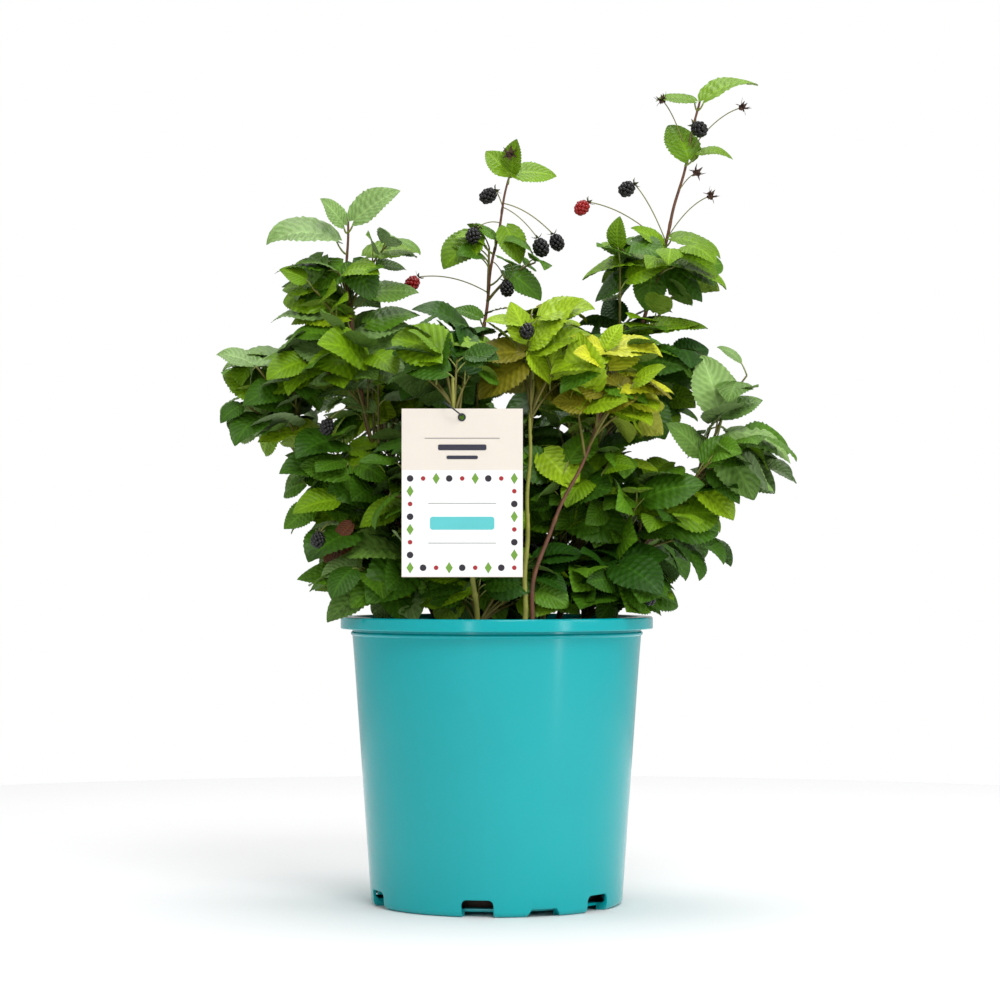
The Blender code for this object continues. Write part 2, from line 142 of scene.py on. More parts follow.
# The masses that each cane carries: name, how many sprays, and the kind of its leaves
SPRAYS = {
    "cane_left": [
        ("leaves_left_tip", 0, "pale"), ("leaves_left_top", 1, "pale"),
        ("leaves_left_upper", 4, "dull"), ("leaves_left_middle", 8, "pale")],
    "cane_far_left": [
        ("leaves_far_left", 8, "dull"), ("leaves_left_flank", 12, "mid"),
        ("leaves_left_foot", 16, "dull")],
    "cane_centre": [
        ("leaves_centre_tip", 0, "fresh"), ("leaves_centre_side", 1, "fresh"),
        ("leaves_centre_upper", 1, "fresh"), ("leaves_centre_left", 9, "dark"),
        ("leaves_core", 18, "dark")],
    "cane_front_green": [
        ("leaves_front_green", 8, "bright")],
    "cane_front_brown": [
        ("leaves_front_yellow", 9, "yellow")],
    "cane_right": [
        ("leaves_front_middle", 15, "mid"), ("leaves_right_tip", 0, "fresh"),
        ("leaves_right_upper", 0, "fresh"), ("leaves_right_collar", 5, "fresh"),
        ("leaves_right_middle", 13, "dark")],
    "cane_low_right": [
        ("leaves_far_right_tip", 1, "pale"), ("leaves_far_right", 5, "pale"),
        ("leaves_right_flank", 10, "mid"), ("leaves_right_foot", 13, "dark")],
    "cane_behind_label": [
        ("leaves_behind_label", 16, "mid"), ("leaves_above_label", 8, "dark"),
        ("leaves_front_foot", 15, "dark")],
    "cane_back_left": [
        ("leaves_back_left", 17, "mid"), ("leaves_back_left_low", 16, "dark")],
    "cane_back_right": [
        ("leaves_back_right", 17, "mid"), ("leaves_back_right_low", 16, "dark")],
    "cane_back": [
        ("leaves_back", 18, "mid"), ("leaves_back_foot", 14, "dark")],
}
# The leaf tints that each kind deals out, some more often than others
PALETTES = {
    "pale": ("pale", "pale", "soft", "mid", "fresh"),
    "dull": ("soft", "mid", "pale", "dark", "fresh"),
    "fresh": ("fresh", "fresh", "mid"),
    "mid": ("mid", "dark", "fresh", "mid", "fresh", "dark", "bright", "mid"),
    "dark": ("dark", "mid", "deep", "mid", "dark", "fresh"),
    "bright": ("bright", "fresh", "bright", "olive"),
    "yellow": ("bright", "yellow", "fresh", "olive", "bright", "mid"),
}
# The plain base colour of each leaf tint
TINTS = {
    "pale": (0.52, 0.65, 0.38),
    "soft": (0.42, 0.56, 0.25),
    "fresh": (0.45, 0.60, 0.06),
    "mid": (0.33, 0.50, 0.09),
    "dark": (0.23, 0.39, 0.05),
    "deep": (0.15, 0.31, 0.03),
    "bright": (0.60, 0.72, 0.10),
    "olive": (0.50, 0.48, 0.10),
    "yellow": (0.78, 0.80, 0.18),
    "bronze": (0.40, 0.23, 0.15),
}

# Single leaves that make the outline, by shoot: its cane, how far it lies behind the pot's axis,
# and each leaf's foot and tip as column and row in the photograph, its tint and its arch
SHOOTS = [
    ("cane_left", -0.020, (
        (354, 220, 398, 186, "pale", 0.5), (343, 224, 322, 196, "pale", 0.4),
        (336, 240, 266, 236, "pale", 1.2), (367, 256, 421, 248, "fresh", 0.8),
        (322, 256, 291, 301, "soft", 0.9), (335, 280, 297, 304, "dark", 0.6),
        (371, 292, 419, 291, "soft", 0.5), (325, 316, 270, 318, "pale", 0.9),
        (347, 318, 290, 320, "bright", 0.8), (367, 323, 420, 312, "mid", 0.7),
        (350, 338, 408, 320, "pale", 0.8), (377, 330, 383, 372, "soft", 0.5),
        (352, 262, 374, 300, "dark", 0.6), (343, 262, 316, 290, "mid", 0.6))),
    ("cane_far_left", 0.010, (
        (292, 362, 222, 364, "pale", 1.3), (272, 372, 249, 417, "soft", 0.7),
        (296, 398, 262, 425, "dark", 0.6), (316, 430, 257, 438, "bright", 0.7),
        (304, 380, 325, 345, "pale", 0.6), (296, 372, 320, 410, "mid", 0.7))),
    ("cane_centre", 0.020, (
        (509, 173, 486, 149, "fresh", 0.3), (512, 172, 514, 138, "fresh", 0.4),
        (513, 172, 557, 174, "fresh", 0.5), (478, 236, 442, 267, "fresh", 0.5),
        (495, 236, 474, 222, "mid", 0.3), (506, 226, 521, 263, "fresh", 0.6),
        (505, 270, 542, 299, "mid", 0.6), (480, 318, 452, 308, "mid", 0.5))),
    ("cane_right", 0.021, (
        (695, 100, 656, 97, "fresh", 0.9), (705, 99, 757, 76, "fresh", 1.0),
        (689, 158, 673, 118, "fresh", 0.9), (697, 153, 734, 156, "fresh", 0.9),
        (672, 238, 722, 256, "fresh", 0.9), (676, 264, 718, 285, "mid", 0.7),
        (652, 264, 582, 276, "fresh", 0.8), (653, 270, 646, 311, "mid", 0.5),
        (630, 272, 594, 300, "dark", 0.6), (663, 244, 632, 226, "fresh", 0.4),
        (664, 268, 704, 300, "dark", 0.6), (666, 250, 643, 236, "fresh", 0.4))),
    ("cane_front_brown", -0.070, (
        (607, 352, 664, 352, "yellow", 1.0), (604, 350, 572, 334, "yellow", 0.4),
        (605, 356, 550, 372, "bright", 0.7), (606, 348, 622, 322, "bright", 0.4),
        (600, 362, 560, 392, "mid", 0.7), (608, 384, 650, 402, "mid", 0.8))),
    ("cane_front_green", -0.066, (
        (524, 352, 472, 360, "olive", 0.7), (530, 346, 562, 322, "bright", 0.4),
        (522, 362, 478, 398, "olive", 0.7), (528, 340, 512, 300, "bright", 0.4),
        (534, 350, 590, 330, "bright", 0.6), (530, 352, 552, 384, "bright", 0.7))),
    ("cane_low_right", -0.022, (
        (719, 412, 704, 353, "pale", 0.5), (723, 416, 763, 398, "pale", 0.6),
        (729, 432, 792, 462, "pale", 1.2), (722, 446, 756, 499, "soft", 0.7),
        (712, 470, 741, 503, "dark", 0.6), (694, 486, 735, 519, "bright", 0.7),
        (700, 452, 670, 420, "soft", 0.6))),
    ("cane_far_left", -0.050, (
        (348, 474, 299, 464, "mid", 0.7), (336, 500, 292, 512, "fresh", 0.7),
        (372, 584, 326, 621, "soft", 0.5), (346, 576, 297, 578, "mid", 0.6),
        (352, 524, 335, 541, "bronze", 0.4), (348, 538, 324, 562, "bronze", 0.4),
        (430, 572, 432, 606, "mid", 0.5))),
]

# Berries: middle and stalk foot in the photograph, how far behind the pot's axis, kind and cane
BERRIES = [
    ((488, 195), (496, 206), 0.018, "black", "cane_centre"),
    ((473, 235), (488, 218), 0.000, "black", "cane_centre"),
    ((507, 288), (492, 262), 0.000, "black", "cane_centre"),
    ((541, 247), (509, 206), 0.012, "black", "cane_centre"),
    ((557, 242), (509, 202), 0.020, "black", "cane_centre"),
    ((412, 283), (484, 292), 0.012, "red", "cane_centre"),
    ((527, 331), (530, 352), -0.078, "black", "cane_front_green"),
    ((627, 188), (664, 238), 0.016, "black", "cane_right"),
    ((700, 128), (693, 150), 0.012, "black", "cane_right"),
    ((582, 207), (660, 245), 0.010, "red", "cane_right"),
    ((327, 427), (362, 410), -0.070, "black", "cane_left"),
    ((318, 540), (366, 520), -0.088, "black", "cane_far_left"),
    ((649, 597), (622, 578), -0.066, "black", "cane_low_right"),
]
# Spent calyxes: middle and stalk foot in the photograph, how far behind the pot's axis, and cane
SPENT = [
    ((510, 153), (509, 172), 0.010, "cane_centre"),
    ((663, 99), (682, 155), 0.016, "cane_right"),
    ((743, 106), (694, 156), 0.010, "cane_right"),
    ((697, 172), (680, 193), 0.012, "cane_right"),
    ((711, 195), (668, 240), 0.008, "cane_right"),
]
BERRY_RADIUS = 0.0059
DRUPELETS = 36
DRUPELET_RADIUS = 0.0019
GOLDEN_TURN = 2.39996
BERRY_STALK_RADIUS = 0.00045
SPENT_STALK_RADIUS = 0.00042
# Each berry's colour, the shares of it that the mottling runs between, and its roughness
BERRY_FINISHES = {
    "black": ((0.032, 0.024, 0.030), 0.5, 1.9, 0.26),
    "red": ((0.55, 0.06, 0.07), 0.7, 1.3, 0.25),
}

# The shape of a leaf, and the lines on it
LEAF_STATIONS = 26
LEAF_HALVES = 3
LEAF_PLEATS = 8.0
VEIN_LINES = 8.5
VEIN_START = 0.91
VEIN_SLANT = 0.60
MIDRIB_HALF_WIDTH = 0.022
# Painted shade: the colour multiplied into each leaf along its pleats' valleys, standing in for the shade
# in its folds
FOLD_PAINTED_SHADE = (0.34, 0.42, 0.30, 1.0)
LEAF_SHADES = [(0.0, (0.58, 0.66, 0.50, 1)), (0.5, (0.86, 0.86, 0.80, 1)), (1.0, (1.0, 1.0, 0.84, 1))]

# How a mass fills with leaves: the room past its solid, the fullness of its rounded lump, the
# share of a turn from spray to spray, the tries for each leaf, and the share of the spray's own tint
ROOM_BEYOND = 0.007
FULLNESS = 1.45
SPRAY_TURN = 0.618
LEAF_TRIES = 7
OWN_TINT = 0.62

# The label: colours, and sizes on the card
CREAM = (0.885, 0.852, 0.808)
WHITE = (0.945, 0.945, 0.94)
RULE_GREY = (0.55, 0.55, 0.56)
BAR_INK = (0.17, 0.17, 0.24)
STRIP_BLUE = (0.36, 0.76, 0.77)
MOTIF_COLOURS = {
    "diamonds": (0.42, 0.60, 0.20),
    "dots": (0.13, 0.10, 0.15),
    "small_dots": (0.62, 0.10, 0.14),
}
INK = 0.00012
FIELD_INSET = 0.0004
FIELD_HEIGHT = 0.078
RULES = ((0.0245, 0.56), (0.0535, 0.56), (0.1010, 0.62))
RULE_THICKNESS = 0.0005
BARS = ((0.0925, 0.40, 0.0042), (0.0860, 0.26, 0.0026))
STRIP_RISE = 0.0345
STRIP_HALF_WIDTH = 0.0235
STRIP_HEIGHT = 0.0095
BORDER_COLUMNS = 9
BORDER_ROWS = 8
BORDER_INSET = 0.0062
BORDER_RISE = 0.0068
BORDER_STEP = 0.0093
EYELET = (-0.0254, 0.3670)
EYELET_RADIUS = 0.0024
EYELET_WIRE = 0.0006
TIE_WIRE = 0.00055
TIE_LEAN = math.radians(37)

# The lamps: place, size and power, all turned to one point of the crown
LAMP_AIM = Vector((0, 0, 0.32))
LAMPS = {
    "key": ((0.5, -1.8, 2.2), (1.0, 1.0), 30.0),
    "fill": ((2.0, -0.9, 0.9), (0.7, 0.7), 8.0),
    "top": ((0.0, 0.5, 2.6), (1.6, 1.6), 30.0),
    "right strip": ((1.5, -1.3, 0.5), (0.16, 1.5), 5.0),
    "left strip": ((-0.7, -2.0, 0.6), (0.10, 1.2), 2.5),
}
WORLD_LIGHT = 0.58


class PotSettings(bpy.types.PropertyGroup):
    colour: bpy.props.FloatVectorProperty(
        name="Pot colour", description="Colour of the moulded plastic", subtype="COLOR_GAMMA", size=3,
        min=0.0, max=1.0, default=(0.0, 0.635, 0.655))
    roughness: bpy.props.FloatProperty(
        name="Pot roughness", description="How matt the plastic is", subtype="FACTOR", min=0.0, max=1.0,
        default=0.30)


class LeafSettings(bpy.types.PropertyGroup):
    length: bpy.props.FloatProperty(
        name="Leaf length", description="Length of a full-grown leaf", unit="LENGTH", default=0.042)
    width: bpy.props.FloatProperty(
        name="Leaf width", description="Greatest width as a share of the length", default=0.80)
    per_spray: bpy.props.IntProperty(
        name="Leaves per spray", description="Leaves on one twig", default=5, min=2, max=9)


class StageSettings(bpy.types.PropertyGroup):
    floor_colour: bpy.props.FloatVectorProperty(
        name="Floor colour", description="Colour of the plain floor", subtype="COLOR_GAMMA", size=3,
        min=0.0, max=1.0, default=(0.97, 0.97, 0.97))
    light: bpy.props.FloatProperty(
        name="Light", description="Strength of the soft studio light", default=1.0, min=0.0)


def spot(place, depth):
    """A pixel of the photograph at a depth behind the pot's axis, as a point in the frame."""
    scale = (CAMERA_DISTANCE + depth) / CAMERA_DISTANCE / PIXELS_PER_METRE
    return Vector(((place[0] - AXIS_COLUMN) * scale, depth, EYE_HEIGHT + (HORIZON_ROW - place[1]) * scale))


def linear(value):
    return value / 12.92 if value <= 0.04045 else ((value + 0.055) / 1.055) ** 2.4


def colour(values):
    return [linear(v) for v in values] + [1.0]


class Pile:
    """Collects many small shapes into one mesh."""

    def __init__(self):
        self.verts = []
        self.faces = []
        self.maps = []
        self.count = 0

    def add(self, verts, faces, uv=None):
        verts = np.asarray(verts, float)
        self.verts.append(verts)
        self.faces += [tuple(int(i) + self.count for i in face) for face in faces]
        self.maps.append(np.zeros((len(verts), 2)) if uv is None else np.asarray(uv, float))
        self.count += len(verts)

    def piece(self, name, material, slot, replaced=()):
        mesh = bpy.data.meshes.new(name)
        verts = np.concatenate(self.verts)
        mesh.from_pydata(verts.tolist(), [], self.faces)
        uv = np.concatenate(self.maps)
        layer = mesh.uv_layers.new(name="Leaf")
        corner = np.empty(len(mesh.loops), np.int32)
        mesh.loops.foreach_get("vertex_index", corner)
        layer.data.foreach_set("uv", uv[corner].astype(np.float32).ravel())
        mesh.shade_smooth()
        mesh.update()
        return finished(bpy.data.objects.new(name, mesh), material, replaced)


def finished(obj, material, replaced=()):
    """Give a piece its material, the body that it belongs to, and the nodes that it replaces."""
    if obj.name not in bpy.context.collection.objects:
        bpy.context.collection.objects.link(obj)
    obj.data.materials.clear()
    obj.data.materials.append(material)
    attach(obj, BODY)
    if replaced:
        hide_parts(*replaced)
    return obj


def tube(points, radii, sides, bump=None):
    """Rings round a path, closed at both ends. bump(i, k) swells the ring's points."""
    verts = []
    last = len(points) - 1
    side = Vector((1, 0, 0))
    for i, middle in enumerate(points):
        along = (points[min(i + 1, last)] - points[max(i - 1, 0)]).normalized()
        side = (side - along * side.dot(along)).normalized()
        front = along.cross(side)
        for k in range(sides):
            turn = math.tau * k / sides
            swell = radii[i] * (1.0 + (bump(i, k) if bump else 0.0))
            verts.append(middle + swell * (side * math.cos(turn) + front * math.sin(turn)))
    faces = []
    for i in range(last):
        for k in range(sides):
            n = (k + 1) % sides
            faces.append((i * sides + k, i * sides + n, (i + 1) * sides + n, (i + 1) * sides + k))
    faces.append(tuple(range(sides - 1, -1, -1)))
    faces.append(tuple(last * sides + k for k in range(sides)))
    return [tuple(v) for v in verts], faces


def bowed(start, end, sag, count):
    """A path from start to end that bows by sag at its middle."""
    shares = [i / count for i in range(count + 1)]
    return [start.lerp(end, t) + sag * (4 * t * (1 - t)) for t in shares]


def ring(middle, across, other, radius, steps):
    """A closed round path in the plane of two directions."""
    turns = [math.tau * i / steps for i in range(steps + 1)]
    return [middle + radius * (across * math.cos(a) + other * math.sin(a)) for a in turns]


def cane_path(name, count):
    """A cane's middle line, with its own leans at foot and tip, and its radii."""
    (x0, y0, lean_x0, lean_y0), (x1, y1, z1, lean_x1, lean_y1), (r0, r1) = CANES[name]
    start = Vector((x0, y0, MIX_TOP + GAP))
    end = Vector((x1, y1, z1))
    reach = (end - start).length
    out = Vector((lean_x0, lean_y0, 1.0)) * reach
    arrive = Vector((lean_x1, lean_y1, 1.0)) * reach
    points = []
    radii = []
    for i in range(count):
        t = i / (count - 1)
        along = start * (2 * t**3 - 3 * t**2 + 1) + end * (3 * t**2 - 2 * t**3)
        points.append(along + out * (t**3 - 2 * t**2 + t) + arrive * (t**3 - t**2))
        radii.append(r0 + (r1 - r0) * t)
    return points, radii


def leaf_shape(rng, arch, fold):
    """One leaf of unit length along Y, facing +Z: a toothed oval blade, pleated along its side veins."""
    width = bpy.context.scene.bramble_leaf.width * rng.uniform(0.92, 1.10) / 2
    wave = rng.uniform(0, math.tau)
    twist = rng.uniform(-0.25, 0.25)
    verts = []
    uv = []
    for i in range(LEAF_STATIONS + 1):
        s = 0.004 + 0.992 * i / LEAF_STATIONS
        spread = width * (s**0.46) * ((1 - s) ** 0.92) / 0.418
        bend = arch * s
        mid = (math.sin(bend) / arch, -(1 - math.cos(bend)) / arch)
        normal = (math.sin(bend), math.cos(bend))
        for j in range(-LEAF_HALVES, LEAF_HALVES + 1):
            u = j / LEAF_HALVES
            out = abs(u)
            tooth = (1.05 if i % 2 else 0.965) if out == 1.0 and 1 < i < LEAF_STATIONS else 1.0
            x = u * spread * tooth
            phase = (s - 0.30 * out * spread / width) * LEAF_PLEATS
            pleat = (0.020 if 0 < out < 1 else 0.008) * math.cos(math.tau * phase) * min(1.0, spread * 6)
            h = fold * abs(x) - 0.55 * x * x + pleat + 0.014 * out * math.sin(wave + 9 * s) + twist * x * s
            y = mid[0] + 0.05 * out * spread + h * normal[0] - 0.10 * out * (1 - s) ** 6
            verts.append((x, y, mid[1] + h * normal[1]))
            uv.append((0.5 + u / 2, s))
    columns = 2 * LEAF_HALVES + 1
    faces = []
    for i in range(LEAF_STATIONS):
        for j in range(columns - 1):
            a = i * columns + j
            faces.append((a, a + 1, a + 1 + columns, a + columns))
    return np.array(verts), faces, np.array(uv)


class Foliage:
    """The growing bush: leaves dealt into a pile for each tint, and all the stalks in one."""

    def __init__(self, seed):
        self.rng = random.Random(seed)
        self.leaves = {tint: Pile() for tint in TINTS}
        self.stalks = Pile()
        self.twigs = Pile()

    def leaf(self, foot, along, facing, length, tint, arch=0.7, room=None):
        """Place one leaf. With a room given, it is left out if it would leave it, and False comes back."""
        along = along.normalized()
        facing = facing - along * facing.dot(along)
        if facing.length < 1e-4:
            facing = Vector((0, -1, 0.2))
        facing.normalize()
        side = along.cross(facing)
        shape, faces, uv = leaf_shape(self.rng, max(arch, 0.08), self.rng.uniform(0.10, 0.42))
        turn = np.array([tuple(side), tuple(along), tuple(facing)])
        verts = shape * length @ turn + np.array(tuple(foot))
        if room is not None and (outside(verts, *room) or blocked(verts)):
            return False
        self.leaves[tint].add(verts, faces, uv)
        return True

    def stalk(self, start, end, sag, thick, thin, twig=False):
        """Run a leaf's stalk, or a twig, which has more rings and sides, and give back its middle line."""
        count = 7 if twig else 4
        points = bowed(start, end, sag, count)
        radii = [thick + (thin - thick) * i / count for i in range(count + 1)]
        (self.twigs if twig else self.stalks).add(*tube(points, radii, 6 if twig else 5))
        return points


def outside(verts, middle, half):
    """Whether a leaf's points leave its mass, a rounded lump a little fuller than an ellipsoid."""
    share = np.abs((verts - middle) / half)
    return bool(share.max() > 1.0 or (share**2).sum(1).max() > FULLNESS)


def blocked(verts):
    """Whether a leaf's points run into the rim of the pot or in front of the label."""
    flat = np.hypot(verts[:, 0], verts[:, 1])
    rim = (flat > RIM_INSIDE) & (flat < RIM_RADIUS + RIM_CLEARANCE) & (verts[:, 2] < POT_HEIGHT + 0.003)
    rim |= (flat >= RIM_RADIUS) & (verts[:, 2] < POT_HEIGHT - 0.012)
    card = (verts[:, 0] > LABEL_EDGES[0]) & (verts[:, 0] < LABEL_EDGES[1]) & (verts[:, 1] < LABEL_BACK)
    card &= (verts[:, 2] > LABEL_ENDS[0]) & (verts[:, 2] < LABEL_ENDS[1])
    return bool(rim.any() or card.any())


def cane_at(name, place):
    """The point of a cane that shows nearest to a pixel of the photograph."""
    points, _ = cane_path(name, 120)
    scales = [PIXELS_PER_METRE * CAMERA_DISTANCE / (CAMERA_DISTANCE + p.y) for p in points]
    shown = [(AXIS_COLUMN + k * p.x, HORIZON_ROW - k * (p.z - EYE_HEIGHT)) for k, p in zip(scales, points)]
    return min(zip(shown, points), key=lambda pair: math.dist(pair[0], place))[1]


def cane_near(name, target, back=0):
    """The point of a cane a little below a target, where a twig to it leaves the cane."""
    points, _ = cane_path(name, 60)
    costs = [(p - target).length + 0.8 * max(0.0, p.z - target.z + 0.012) for p in points]
    return points[max(2, costs.index(min(costs)) - back)]


def outline_leaves(foliage):
    """The single leaves of the shoots' tips, each on a stalk or twig from its cane."""
    rng = foliage.rng
    for cane, depth, leaves in SHOOTS:
        for foot_column, foot_row, tip_column, tip_row, tint, arch in leaves:
            lean = rng.uniform(-0.012, 0.008)
            base = spot((foot_column, foot_row), depth - 0.003)
            chord = spot((tip_column, tip_row), depth - 0.003 + lean) - base
            facing = Vector((rng.uniform(-0.25, 0.25), -0.66, 0.80) if arch < 0.8 else (0.0, -0.42, 0.92))
            along = (chord.normalized() + facing.normalized() * math.tan(arch / 2) * 0.8).normalized()
            length = chord.length / (math.sin(arch / 2) / (arch / 2))
            foliage.leaf(base, along, facing, length, tint, arch)
            root = cane_near(cane, base)
            twig = (root - base).length > 0.03
            foliage.stalk(root, base, Vector((0, 0, -0.002)), 0.0009, 0.0006, twig)


def grow_sprays(foliage):
    """Twigs from each cane out to the skin of each mass, with leaves to both sides and one at the end."""
    rng = foliage.rng
    settings = bpy.context.scene.bramble_leaf
    masses = [(cane, *mass) for cane, group in SPRAYS.items() for mass in group]
    for cane, name, count, kind in masses:
        low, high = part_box(name)
        middle = (low + high) / 2
        half = (high - low) / 2
        room = (np.array(tuple(middle)), np.array(tuple(half)) + ROOM_BEYOND)
        full = min(1.0, 0.40 + min(half) / 0.040)
        palette = PALETTES[kind]
        for i in range(count):
            turn = math.tau * (i * SPRAY_TURN) + rng.uniform(-0.4, 0.4)
            level = -0.80 + 1.70 * (i + 0.5) / count + rng.uniform(-0.15, 0.15)
            level = max(-0.95, min(0.95, level))
            flat = math.sqrt(1 - level * level)
            out = Vector((math.cos(turn) * flat, math.sin(turn) * flat, level))
            skin = Vector((out.x * half.x, out.y * half.y, out.z * half.z))
            end = middle + skin * rng.uniform(0.50, 0.78)
            root = cane_near(cane, end - Vector((0, 0, 0.012)) - skin * 0.15, rng.randrange(0, 12))
            sag = Vector((0, 0, 0.10 * (end - root).length))
            points = foliage.stalk(root, end, sag, 0.0012, 0.0007, twig=True)
            tint = palette[rng.randrange(len(palette))]
            for k in range(settings.per_spray):
                spray_leaf(foliage, points, k, out, room, settings.length * full, tint, palette)


def spray_leaf(foliage, points, k, out, room, size, tint, palette):
    """One leaf of a spray: the first at the twig's end, the others back along it, to left and right."""
    rng = foliage.rng
    for attempt in range(LEAF_TRIES):
        t = 1.0 if k == 0 else 1.0 - 0.13 * k - rng.uniform(0.0, 0.05)
        place = max(0.0, t) * (len(points) - 1)
        index = min(int(place), len(points) - 2)
        node = points[index].lerp(points[index + 1], place - index)
        along = (points[index + 1] - points[index]).normalized()
        side = along.cross(Vector((0, 0, 1)))
        if side.length < 0.1:
            side = Vector((1, 0, 0))
        side.normalize()
        hand = 0.0 if k == 0 else (1.0 if k % 2 else -1.0)
        drop = Vector((rng.uniform(-0.3, 0.3), rng.uniform(-0.3, 0.3), rng.uniform(-0.65, 0.25)))
        heading = (along * 0.6 + side * hand * 1.1 + out * 0.45 + drop).normalized()
        if attempt > 3:
            heading = (heading - out * 1.2).normalized()
        foot = node + (heading + Vector((0, 0, 0.5))).normalized() * rng.uniform(0.006, 0.014)
        facing = Vector((rng.uniform(-0.5, 0.5), rng.uniform(-0.7, 0.1), 0.75)) + out * 0.5
        length = size * rng.uniform(0.62, 1.22) * (1.0 - 0.06 * attempt)
        shade = tint if rng.random() < OWN_TINT else palette[rng.randrange(len(palette))]
        if foliage.leaf(foot, heading, facing, length, shade, rng.uniform(0.3, 1.2), room):
            foliage.stalk(node, foot, Vector((0, 0, 0.001)), 0.0007, 0.0005)
            return


def noise(tree, detail):
    node = tree.nodes.new("ShaderNodeTexNoise")
    node.inputs["Detail"].default_value = detail
    return node


def ramp(tree, source, stops):
    node = tree.nodes.new("ShaderNodeValToRGB")
    node.color_ramp.elements[0].position = stops[0][0]
    node.color_ramp.elements[0].color = stops[0][1]
    node.color_ramp.elements[1].position = stops[-1][0]
    node.color_ramp.elements[1].color = stops[-1][1]
    for place, value in stops[1:-1]:
        node.color_ramp.elements.new(place).color = value
    tree.links.new(source, node.inputs["Fac"])
    return node


def blend(tree, factor, first, second, way="MIX"):
    """A mix of two colours. Each of the three is an output to link, or a value to set."""
    node = tree.nodes.new("ShaderNodeMix")
    node.data_type = "RGBA"
    node.blend_type = way
    for socket, value in (("Factor", factor), ("A", first), ("B", second)):
        if isinstance(value, bpy.types.NodeSocket):
            tree.links.new(value, node.inputs[socket])
        else:
            node.inputs[socket].default_value = value
    return node.outputs["Result"]


def shaded(values, factor):
    return colour([min(1.0, max(0.0, v * factor)) for v in values])


def mottle_group():
    """Shared effect: soft mottling between two colours, with a fine height to go with it."""
    name = "Mottle"
    if name in bpy.data.node_groups:
        return bpy.data.node_groups[name]
    group = bpy.data.node_groups.new(name, "ShaderNodeTree")
    for label, way, kind in (("Dark", "INPUT", "Color"), ("Light", "INPUT", "Color"),
                             ("Scale", "INPUT", "Float"), ("Color", "OUTPUT", "Color"),
                             ("Height", "OUTPUT", "Float")):
        group.interface.new_socket(name=label, in_out=way, socket_type="NodeSocket" + kind)
    inside = group.nodes.new("NodeGroupInput").outputs
    result = group.nodes.new("NodeGroupOutput").inputs
    place = group.nodes.new("ShaderNodeTexCoord").outputs["Object"]
    broad = noise(group, 4.0)
    fine = noise(group, 2.0)
    finer = group.nodes.new("ShaderNodeMath")
    finer.operation = "MULTIPLY"
    finer.inputs[1].default_value = 9.0
    group.links.new(place, broad.inputs["Vector"])
    group.links.new(place, fine.inputs["Vector"])
    group.links.new(inside["Scale"], broad.inputs["Scale"])
    group.links.new(inside["Scale"], finer.inputs[0])
    group.links.new(finer.outputs[0], fine.inputs["Scale"])
    mixed = blend(group, broad.outputs["Fac"], inside["Dark"], inside["Light"])
    group.links.new(mixed, result["Color"])
    group.links.new(fine.outputs["Fac"], result["Height"])
    return group


def mottled(name, base, low, high, scale, roughness, strength, distance=0.0005):
    """A material that is mottled between two shares of its base colour, with a fine bump to match."""
    material = bpy.data.materials.new(name)
    material.use_nodes = True
    tree = material.node_tree
    shader = tree.nodes["Principled BSDF"]
    node = tree.nodes.new("ShaderNodeGroup")
    node.node_tree = mottle_group()
    node.inputs["Dark"].default_value = shaded(base, low)
    node.inputs["Light"].default_value = shaded(base, high)
    node.inputs["Scale"].default_value = scale
    tree.links.new(node.outputs["Color"], shader.inputs["Base Color"])
    shader.inputs["Roughness"].default_value = roughness
    bump = tree.nodes.new("ShaderNodeBump")
    bump.inputs["Strength"].default_value = strength
    bump.inputs["Distance"].default_value = distance
    tree.links.new(node.outputs["Height"], bump.inputs["Height"])
    tree.links.new(bump.outputs["Normal"], shader.inputs["Normal"])
    return material


def nodes_of(material):
    """A material's node tree, its shader, its mottling and its bump."""
    tree = material.node_tree
    shader = tree.nodes["Principled BSDF"]
    mottle = shader.inputs["Base Color"].links[0].from_node
    return tree, shader, mottle, shader.inputs["Normal"].links[0].from_node


